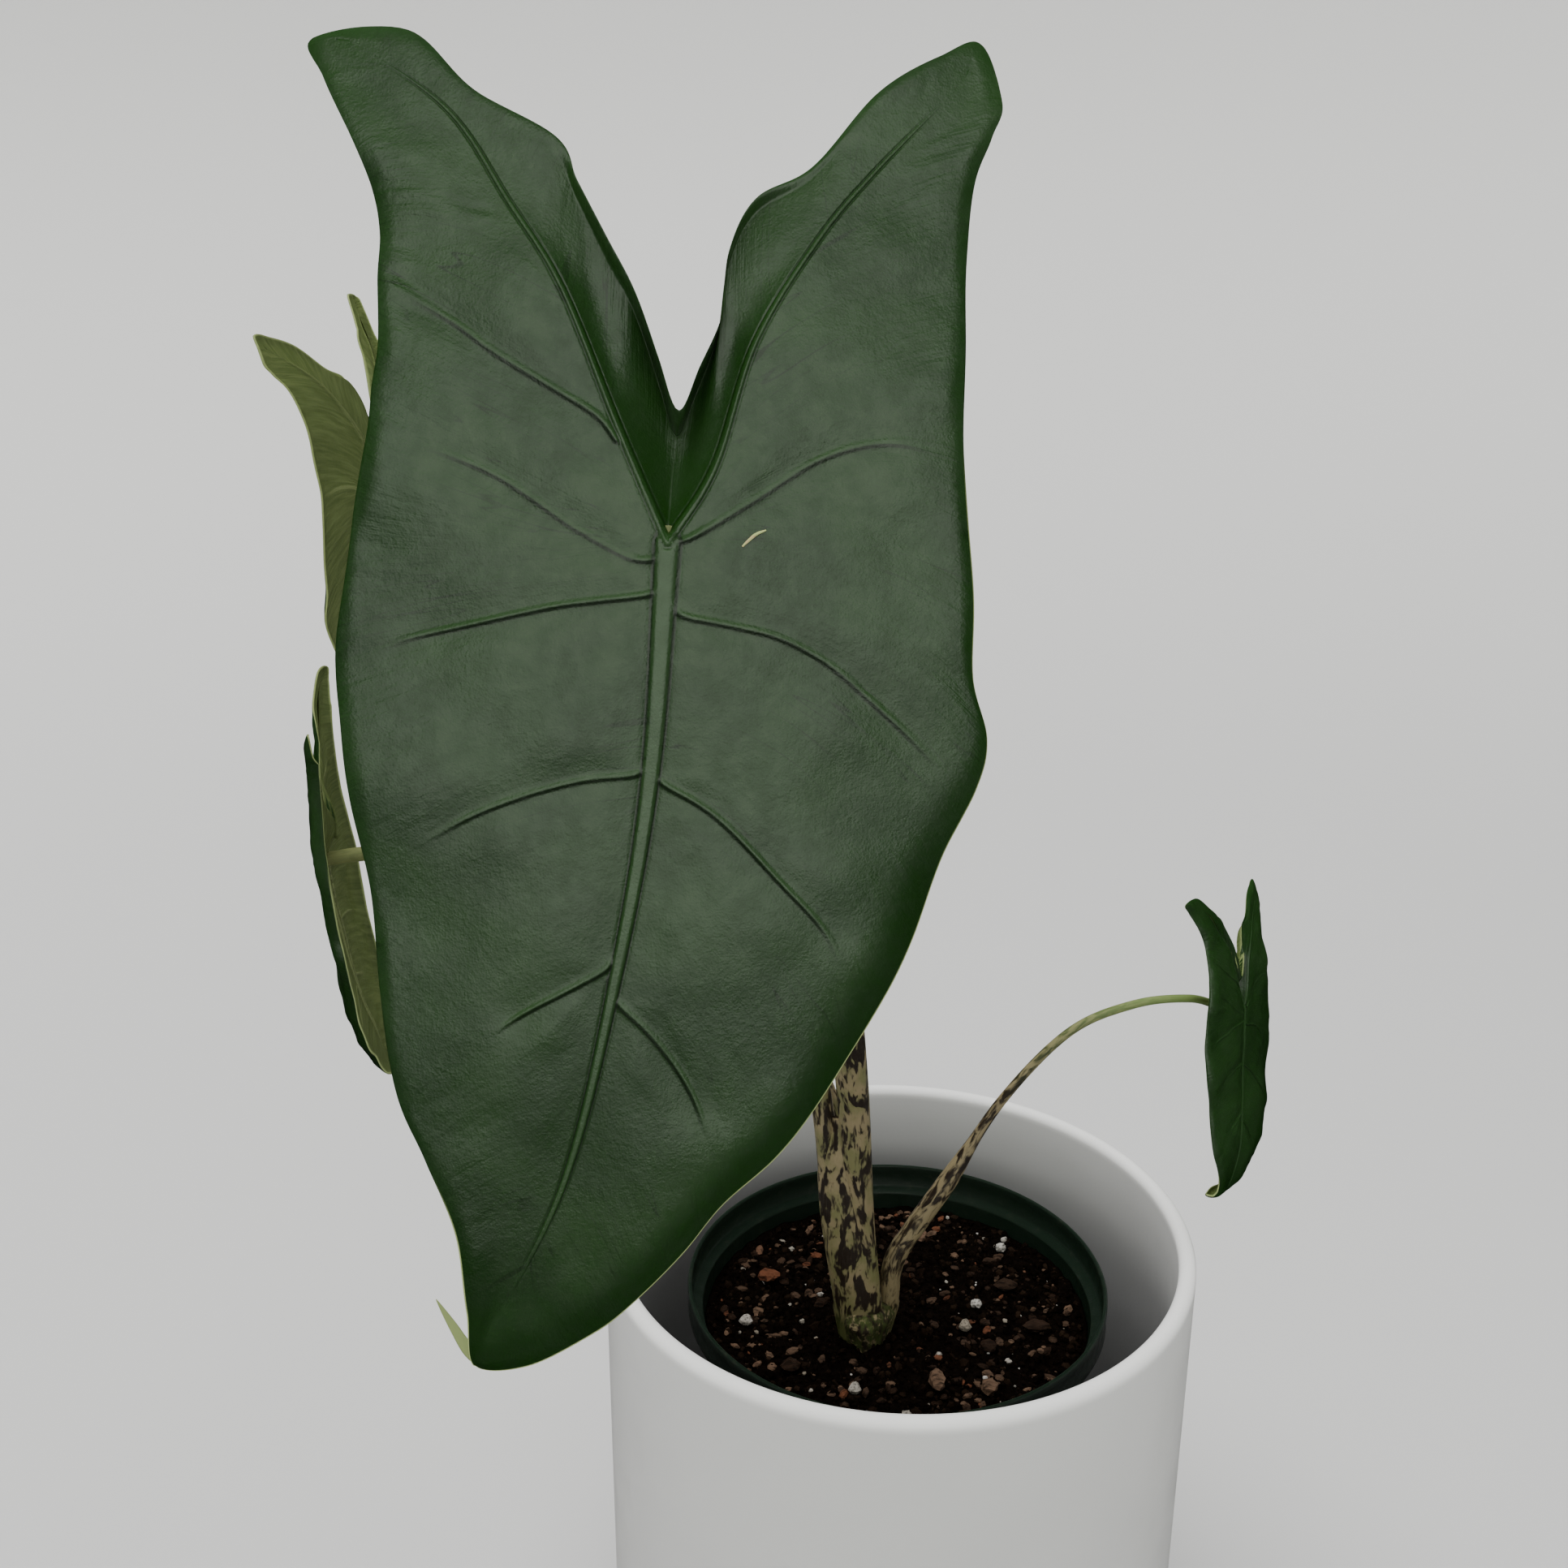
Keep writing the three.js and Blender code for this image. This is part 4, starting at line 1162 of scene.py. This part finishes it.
class ALOCASIA_OT_stage(bpy.types.Operator):
    """Adds the floor, the soft lights and the camera"""

    bl_idname = "alocasia.stage"
    bl_label = "Stage"

    def execute(self, context):
        studio = context.scene.alocasia_studio
        self.add_camera(context.scene, studio)
        self.add_floor()
        self.add_lights(context.scene, studio)
        return {"FINISHED"}

    def add_camera(self, scene, studio):
        data = bpy.data.cameras.new("camera")
        data.sensor_width = 36
        data.lens = studio.lens
        camera = bpy.data.objects.new("camera", data)
        scene.collection.objects.link(camera)
        tilt = Matrix.Rotation(math.pi / 2 - studio.pitch, 4, "X")
        roll = Matrix.Rotation(studio.roll, 4, "Z")
        camera.matrix_world = Matrix.Translation(studio.camera) @ tilt @ roll
        scene.camera = camera

    def add_floor(self):
        """A round floor whose far edge sweeps up, so that no view shows a horizon."""
        flat, sweep = 1.1, 3.4
        profile = [(r, 0) for r in np.linspace(0.05, flat, 30)]
        profile += [(flat + sweep * math.sin(a), sweep * (1 - math.cos(a)))
                    for a in np.radians(np.linspace(3, 80, 24))]
        sides = 96
        turn = full_turn(sides)
        vertices = [(r * math.cos(a), r * math.sin(a), z) for a in turn for r, z in profile]
        faces = grid_faces(sides, len(profile))
        faces.append([i * len(profile) for i in range(sides)])
        floor = mesh_object("floor", vertices, faces, [finish("floor_paper", studio_floor)])
        floor.visible_glossy = False

    def add_lights(self, scene, studio):
        world = scene.world or bpy.data.worlds.new("surroundings")
        scene.world = world
        world.use_nodes = True
        world.cycles_visibility.glossy = False
        tree = world.node_tree
        background = tree.nodes["Background"]
        background.inputs["Color"].default_value = (*studio.sky, 1)
        direction = tree.nodes.new("ShaderNodeTexCoord")
        parts = tree.nodes.new("ShaderNodeSeparateXYZ")
        rising = tree.nodes.new("ShaderNodeMapRange")
        rising.interpolation_type = "SMOOTHSTEP"
        for label, value in zip(("From Min", "From Max", "To Min", "To Max"), (0.1, 0.6, 0.05, 0.85)):
            rising.inputs[label].default_value = value
        tree.links.new(direction.outputs["Generated"], parts.inputs[0])
        tree.links.new(parts.outputs["Z"], rising.inputs["Value"])
        tree.links.new(rising.outputs["Result"], background.inputs["Strength"])
        lamps = [
            ("overhead", (-0.5, 0.3, 2.4), (0, 0, 0.2), (2.6, 2.6), 60, (1, 0.995, 0.98)),
            ("front_window", (0.05, -1.9, 1.15), (-0.05, -0.15, 0.45), (1.9, 2.2), 12.5, (0.96, 1, 0.9)),
        ]
        for name, place, aim, size, power, colour in lamps:
            data = bpy.data.lights.new(name, "AREA")
            data.shape = "ELLIPSE"
            data.size, data.size_y = size
            data.energy, data.color = power, colour
            lamp = bpy.data.objects.new(name, data)
            scene.collection.objects.link(lamp)
            lamp.visible_camera = False
            lamp.visible_glossy = name != "overhead"
            lamp.location = place
            lamp.rotation_euler = (Vector(aim) - Vector(place)).to_track_quat("-Z", "Y").to_euler()


class ALOCASIA_OT_cachepot(bpy.types.Operator):
    """Turns the white outer pot with its rounded lip"""

    bl_idname = "alocasia.cachepot"
    bl_label = "Outer pot"

    def execute(self, context):
        pots = context.scene.alocasia_pots
        low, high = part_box("cachepot")
        radius, height = (high.x - low.x) / 2, high.z
        wall, floor = pots.wall, pots.floor
        lip, foot, inside = wall / 2, 0.003, 0.005
        profile = [(0, 0.0012), (radius - 0.016, 0.0012), (radius - 0.013, 0.0002), (radius - 0.011, 0)]
        profile += arc(radius - foot, foot, foot, -90, 0, 8)
        profile += [(radius, z) for z in np.linspace(foot, height - lip, 14)[1:-1]]
        profile += arc(radius - lip, height - lip, lip, 0, 180, 16)
        profile += [(radius - wall, z) for z in np.linspace(height - lip, floor + inside, 14)[1:-1]]
        profile += arc(radius - wall - inside, floor + inside, inside, 0, -90, 8)
        profile += [(0, floor)]
        pot = lathe("outer_pot", profile, pots.sides, finish("white_glaze", glaze))
        keep(pot, "glazed_white", "cachepot")
        return {"FINISHED"}


class ALOCASIA_OT_nursery_pot(bpy.types.Operator):
    """Turns the thin plastic pot with its band, rim and drainage holes"""

    bl_idname = "alocasia.nursery_pot"
    bl_label = "Inner pot"

    def execute(self, context):
        pots = context.scene.alocasia_pots
        low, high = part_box("nursery_pot")
        rim, z0, z1 = (high.x - low.x) / 2, low.z, high.z
        wall, floor, band, foot = 0.0014, 0.0018, 0.011, 0.055

        def side(z):
            return foot + (rim - 0.0026 - foot) * (z - z0) / (z1 - z0)

        band_foot = z1 - band
        profile = [(0, z0), (foot - 0.003, z0)]
        profile += arc(side(z0) - 0.002, z0 + 0.002, 0.002, -90, -8, 5)
        profile += [(side(z), z) for z in np.linspace(z0 + 0.003, band_foot - 0.001, 12)]
        profile += [(side(band_foot) + 0.0006, band_foot - 0.0002), (rim - 0.0006, band_foot)]
        profile += [(rim - 0.0001, band_foot + 0.0006), (rim - 0.0003, band_foot + 0.003)]
        profile += [(rim - 0.0003, z1 - 0.0032), (rim, z1 - 0.0026)]
        profile += arc(rim - 0.0008, z1 - 0.0008, 0.0008, 0, 180, 8)
        profile += [(rim - wall - 0.0003, z1 - 0.003), (rim - wall, band_foot + wall + 0.001)]
        profile += [(rim - wall - 0.001, band_foot + wall), (side(band_foot) - wall, band_foot + 0.001)]
        profile += [(side(z) - wall, z) for z in np.linspace(band_foot, z0 + 0.004, 12)]
        profile += [(side(z0) - wall - 0.002, z0 + floor), (0, z0 + floor)]
        pot = lathe("inner_pot_shell", profile, pots.sides, finish("dark_plastic", dark_plastic))
        tree = self.holes_tree()
        values = {"Holes": 8, "Circle": 0.04, "Hole radius": 0.005, "Depth": 0.01, "Height": z0,
                  "Material": finish("dark_plastic", dark_plastic)}
        pot = grown(pot, tree, values, "inner_pot")
        keep(pot, "green_plastic", "nursery_pot")
        return {"FINISHED"}

    def holes_tree(self):
        """Drills drainage holes on a circle through a pot's floor."""
        sizes = {"Holes": "NodeSocketInt", "Circle": "NodeSocketFloat",
                 "Hole radius": "NodeSocketFloat", "Depth": "NodeSocketFloat",
                 "Height": "NodeSocketFloat", "Material": "NodeSocketMaterial"}
        tree = Tree("Drainage holes", sizes)
        values = {"Vertices": tree.size("Holes"), "Radius": tree.size("Circle")}
        ring = tree.add("GeometryNodeMeshCircle", values)
        drill = tree.add("GeometryNodeMeshCylinder", {"Vertices": 20, "Radius": tree.size("Hole radius"),
                                                      "Depth": tree.size("Depth")})
        drills = tree.add("GeometryNodeInstanceOnPoints", {"Points": ring.outputs[0],
                                                           "Instance": drill.outputs[0]})
        up = tree.add("ShaderNodeCombineXYZ", {"Z": tree.size("Height")}).outputs[0]
        raised = tree.add("GeometryNodeTransform", {"Geometry": drills.outputs[0], "Translation": up})
        real = tree.add("GeometryNodeRealizeInstances", {"Geometry": raised.outputs[0]})
        cut = tree.add("GeometryNodeMeshBoolean", {"Mesh 1": tree.size("Geometry"),
                                                   "Mesh 2": real.outputs[0]}, operation="DIFFERENCE")
        tree.end(cut.outputs[0])
        return tree


def soil_height(x, y):
    """The soil's lumpy surface above a spot."""
    top = SOIL["top"] + SOIL["dome"] * (1 - (x**2 + y**2) / SOIL["radius"] ** 2)
    lumps = 0.0011 * value_noise(x / 0.011, y / 0.011, 31)
    lumps += 0.0008 * value_noise(x / 0.0045, y / 0.0045, 32)
    lumps += 0.0005 * value_noise(x / 0.0019, y / 0.0019, 33)
    foot = np.hypot(x - PLANT[0], y - PLANT[1])
    return top + lumps + 0.0022 * np.exp(-((foot / 0.017) ** 2))


class ALOCASIA_OT_soil(bpy.types.Operator):
    """Fills the inner pot with lumpy earth and scatters crumbs over it"""

    bl_idname = "alocasia.soil"
    bl_label = "Soil"

    def execute(self, context):
        soil = context.scene.alocasia_soil
        earthy = finish("damp_earth", earth)
        bed = self.make_bed(earthy)
        self.scatter(soil, earthy)
        keep(bed, "potting_soil", "soil")
        return {"FINISHED"}

    def rings(self, count, sides, radius):
        turn = full_turn(sides)
        reach = radius * np.linspace(0.004, 1, count)
        x = np.outer(np.cos(turn), reach).ravel()
        y = np.outer(np.sin(turn), reach).ravel()
        return x, y

    def make_bed(self, material):
        count, sides = 96, 300
        x, y = self.rings(count, sides, SOIL["radius"])
        z = soil_height(x, y)
        vertices = np.stack([x, y, z], 1).reshape(sides, count, 3)
        foot = vertices[:, -1, :].copy()
        foot[:, :2] *= SOIL["foot"] / SOIL["radius"]
        foot[:, 2] = SOIL["bottom"]
        grid = np.concatenate([vertices, foot[:, None]], 1).reshape(-1, 3)
        rows = count + 1
        faces = [face[::-1] for face in grid_faces(sides, rows)]
        faces.append([i * rows for i in range(sides)])
        faces.append([i * rows + count for i in range(sides)][::-1])
        bed = mesh_object("soil_bed", grid, faces, [material])
        set_values(bed.data, "tint", np.zeros(len(grid)))
        weld(bed)
        return bed

    def scatter(self, soil, material):
        x, y = self.rings(50, 120, SOIL["radius"] - 0.0015)
        grid = np.stack([x, y, soil_height(x, y)], 1)
        surface = mesh_object("crumb_bed", grid, grid_faces(120, 50), [material])
        values = {"Crumbs": soil.crumbs, "Smallest": 0.00045, "Largest": 0.0022, "Seed": soil.seed,
                  "Material": material}
        crumbs = grown(surface, crumb_tree(), values, "soil_crumbs")
        keep(crumbs, "potting_soil")


def loose_points(name, centres, halves, turns, tints):
    """A mesh of points with the sizes and turns that a lump tree reads."""
    made = mesh_object(name, centres, [])
    set_vectors(made.data, "half_size", halves)
    set_vectors(made.data, "turn", turns)
    set_values(made.data, "tint", tints)
    return made


class ALOCASIA_OT_loose_pieces(bpy.types.Operator):
    """Lays bark chips, pumice and perlite on the soil"""

    bl_idname = "alocasia.loose_pieces"
    bl_label = "Loose pieces"

    def execute(self, context):
        soil = context.scene.alocasia_soil
        self.lay("bark_chips", "bark_chip_", 420, (0.0025, 0.0016, 0.0011), 1.9,
                 finish("chip_bark", bark), "bark", soil.seed + 1)
        self.lay("pale_grains", "pumice_grain_", 70, (0.0013, 0.0012, 0.001), 1.4,
                 finish("pale_grain", pale_grain), "pumice", soil.seed + 2)
        return {"FINISHED"}

    def lay(self, name, prefix, extra, size, roundness, material, slot, seed):
        """The frame's loose pieces, with many smaller ones of their kind round them."""
        random = np.random.default_rng(seed)
        framed = sorted(node for node in nodes if node.startswith(prefix))
        centres, halves = [], []
        for node in framed:
            low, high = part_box(node)
            centres.append((low + high) / 2)
            halves.append((high - low) / 2 * 0.9)
        angle = random.uniform(0, 2 * math.pi, extra)
        reach = (SOIL["radius"] - 0.005) * np.sqrt(random.uniform(0.02, 1, extra) ** 0.8)
        x, y = reach * np.cos(angle), reach * np.sin(angle)
        scale = random.uniform(0.35, 1.0, extra) ** 1.5
        clear = np.hypot(x - PLANT[0], y - PLANT[1]) > 0.014
        half = np.outer(scale, size) * random.uniform(0.7, 1.2, (extra, 3))
        z = soil_height(x, y) + half[:, 2] * 0.5
        centres = np.vstack([np.array(centres), np.stack([x, y, z], 1)[clear]])
        halves = np.vstack([np.array(halves), half[clear]])
        turns = random.uniform(-0.35, 0.35, (len(centres), 3))
        turns[len(framed):, 2] = random.uniform(0, 6.28, len(centres) - len(framed))
        turns[:len(framed)] = 0
        tints = random.uniform(0, 1, len(centres)) ** 1.3
        points = loose_points(f"{name}_points", centres, halves, turns, tints)
        values = {"Detail": 2, "Raggedness": 1.25, "Material": material}
        keep(grown(points, lump_tree(name, roundness), values, name), slot, *framed)


class ALOCASIA_OT_stalks(bpy.types.Operator):
    """Grows the mottled leaf stalks out of the corm"""

    bl_idname = "alocasia.stalks"
    bl_label = "Stalks"

    def execute(self, context):
        sides = context.scene.alocasia_stalks.sides
        for name, leaf in LEAVES.items():
            skin = ("thin_stalk_skin", thin_stalk_skin) if name == "right" else ("stalk_skin", stalk_skin)
            line, girth = self.route(leaf)
            stalk = tube(f"{name}_stalk", line, girth, sides, finish(*skin))
            keep(stalk, "mottled_stalk", f"{name}_petiole")
        self.add_sheath()
        return {"FINISHED"}

    def add_sheath(self):
        """The old sheath that holds the two big stalks together, up to the fork between them."""
        front, _ = self.route(LEAVES["front"])
        back, _ = self.route(LEAVES["upper_left"])
        sides, rows = 48, 60
        share = np.linspace(0, 1, rows)
        z = PLANT[2] + MM * (2 + 84 * share)
        ahead = np.stack([np.interp(z, front[:, 2], front[:, k]) for k in (0, 1)], 1)
        behind = np.stack([np.interp(z, back[:, 2], back[:, k]) for k in (0, 1)], 1)
        middle, span = (ahead + behind) / 2, ahead - behind
        apart = np.linalg.norm(span, axis=1)
        along = span / apart[:, None]
        across = np.stack([-along[:, 1], along[:, 0]], 1)
        long = np.minimum(apart / 2 + MM * 4.4, MM * 9.6) * (1 - 0.72 * smooth(0.72, 1.0, share))
        short = MM * np.interp(share, [0, 0.2, 0.6, 0.85, 1], [6.6, 6.9, 6.2, 4.6, 1.2])
        grid, flat = [], []
        for turn in full_turn(sides):
            spot = middle + along * (long * math.cos(turn))[:, None]
            spot = spot + across * (short * math.sin(turn))[:, None]
            grid.append(np.column_stack([spot, z]))
            flat.append(np.column_stack([spot - PLANT[:2], z - PLANT[2]]))
        sheath = closed_grid("stalk_sheath", grid, finish("stalk_skin", stalk_skin))
        set_vectors(sheath.data, "stalk", np.concatenate(flat))
        weld(sheath)
        keep(sheath, "mottled_stalk")

    def route(self, leaf):
        """The stalk's middle line in metres, from inside the corm to inside the blade."""
        joint = np.array(leaf["joint"], float)
        out = leaf_matrix(leaf) @ np.array([0, 0, 1.0])
        meeting = joint - out * 1.4
        before = joint - out * (CAD_BLADE / 2 + 0.45 + leaf["approach"])
        first = np.array(leaf["path"][0], float)
        base = first * np.array([0.55, 0.55, 0]) + np.array([0, 0, -3.0])
        above = first + np.array([0, 0, leaf["radii"][0]])
        points = np.array([base, first, above, *leaf["path"][1:], before, meeting])
        share = np.linspace(0, 1, 220)
        line = even(points, share)
        radii = np.array([leaf["radii"][0] * 0.9, *leaf["radii"]])
        girth = catmull(radii[:, None], share * (len(radii) - 1))[:, 0]
        return PLANT + MM * line, girth * MM


class ALOCASIA_OT_corm(bpy.types.Operator):
    """Shapes the mossy foot that the stalks rise from"""

    bl_idname = "alocasia.corm"
    bl_label = "Corm"

    def execute(self, context):
        sides, rows = 72, 40
        share = np.linspace(0, 1, rows)
        low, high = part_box("corm")
        z = low.z + (high.z + 0.004 - low.z) * share
        radius = MM * np.interp(share, [0, 0.3, 0.58, 0.7, 0.85, 0.97, 1], [4, 7, 7.6, 8.4, 9.4, 7.5, 4])
        grid = []
        for a in full_turn(sides):
            folds = 1 + 0.09 * math.sin(3 * a + 0.6) + 0.05 * math.sin(7 * a) + 0.02 * math.sin(17 * a)
            reach = radius * folds
            grid.append(np.column_stack([PLANT[0] + reach * math.cos(a),
                                         PLANT[1] + reach * math.sin(a), z]))
        corm = closed_grid("corm_foot", grid, finish("root_skin", root_skin))
        weld(corm)
        keep(corm, "corm_skin", "corm")
        return {"FINISHED"}


class ALOCASIA_OT_blades(bpy.types.Operator):
    """Makes the four leaf blades with their ribs, veins and rolled margins"""

    bl_idname = "alocasia.blades"
    bl_label = "Leaf blades"

    def execute(self, context):
        for name, leaf in LEAVES.items():
            make_blade(name, leaf)
        self.add_drip_tip(LEAVES["front"])
        self.add_scar(LEAVES["front"])
        return {"FINISHED"}

    def add_drip_tip(self, leaf):
        """The long leaf's thin drip tip, curled back and up beside it."""
        tip = bend(leaf, np.array([TIP]), np.zeros(1))[0]
        rows, sides = 22, 10
        share = np.linspace(0, 1, rows)[:, None]
        middle = even([(1.4, 1.6, -0.6), (-1.8, 3.6, -1.8), (-4.6, 7.6, -3), (-8, 13, -4)], share[:, 0])
        aside = (1 - share) * np.array([0.1, 1, 0]) + share * np.array([0.84, 0.54, 0])
        aside = aside / np.linalg.norm(aside, axis=1)[:, None]
        half = 2.0 * (1 - share) ** 0.9 + 0.1
        grid = []
        for turn in full_turn(sides):
            proud = np.array([0, 0, 0.26 * math.sin(turn)]) * (1.1 - share)
            grid.append(to_world(leaf, tip + middle + aside * half * math.cos(turn) + proud))
        sliver = closed_grid("drip_tip", grid, finish("leaf_under_side", leaf_under))
        weld(sliver)
        keep(sliver, "leaf_blade")

    def add_scar(self, leaf):
        """A small dried scar on the long leaf's upper side."""
        flat = even([(13.9, -0.9), (15.2, 0.3), (16.6, 1.4), (18.4, 2.1)], np.linspace(0, 1, 14))
        line = to_world(leaf, bend(leaf, flat, np.full(len(flat), 0.35)))
        girth = MM * (0.12 + 0.2 * np.sin(np.linspace(0.2, 3.0, len(flat))))
        scar = tube("leaf_scar", line, girth, 8, finish("dry_scar", dry_scar))
        keep(scar, "leaf_blade")


OPERATORS = (
    ALOCASIA_OT_stage,
    ALOCASIA_OT_cachepot,
    ALOCASIA_OT_nursery_pot,
    ALOCASIA_OT_soil,
    ALOCASIA_OT_loose_pieces,
    ALOCASIA_OT_corm,
    ALOCASIA_OT_stalks,
    ALOCASIA_OT_blades,
)


class ALOCASIA_PT_panel(bpy.types.Panel):
    """Lists the pieces of the potted alocasia"""

    bl_idname = "ALOCASIA_PT_panel"
    bl_label = "Potted Alocasia"
    bl_space_type = "VIEW_3D"
    bl_region_type = "UI"
    bl_category = "Alocasia"

    def draw(self, context):
        for operator in OPERATORS:
            self.layout.operator(operator.bl_idname)


def register():
    for settings in SETTINGS.values():
        bpy.utils.register_class(settings)
    for name, settings in SETTINGS.items():
        setattr(bpy.types.Scene, name, PointerProperty(type=settings))
    for cls in (*OPERATORS, ALOCASIA_PT_panel):
        bpy.utils.register_class(cls)


def unregister():
    for cls in reversed((*OPERATORS, ALOCASIA_PT_panel)):
        bpy.utils.unregister_class(cls)
    for name, settings in SETTINGS.items():
        delattr(bpy.types.Scene, name)
        bpy.utils.unregister_class(settings)


def main():
    register()
    bpy.ops.alocasia.stage()
    bpy.ops.alocasia.cachepot()
    bpy.ops.alocasia.nursery_pot()
    bpy.ops.alocasia.soil()
    bpy.ops.alocasia.loose_pieces()
    bpy.ops.alocasia.corm()
    bpy.ops.alocasia.stalks()
    bpy.ops.alocasia.blades()


if __name__ == "__main__":
    main()
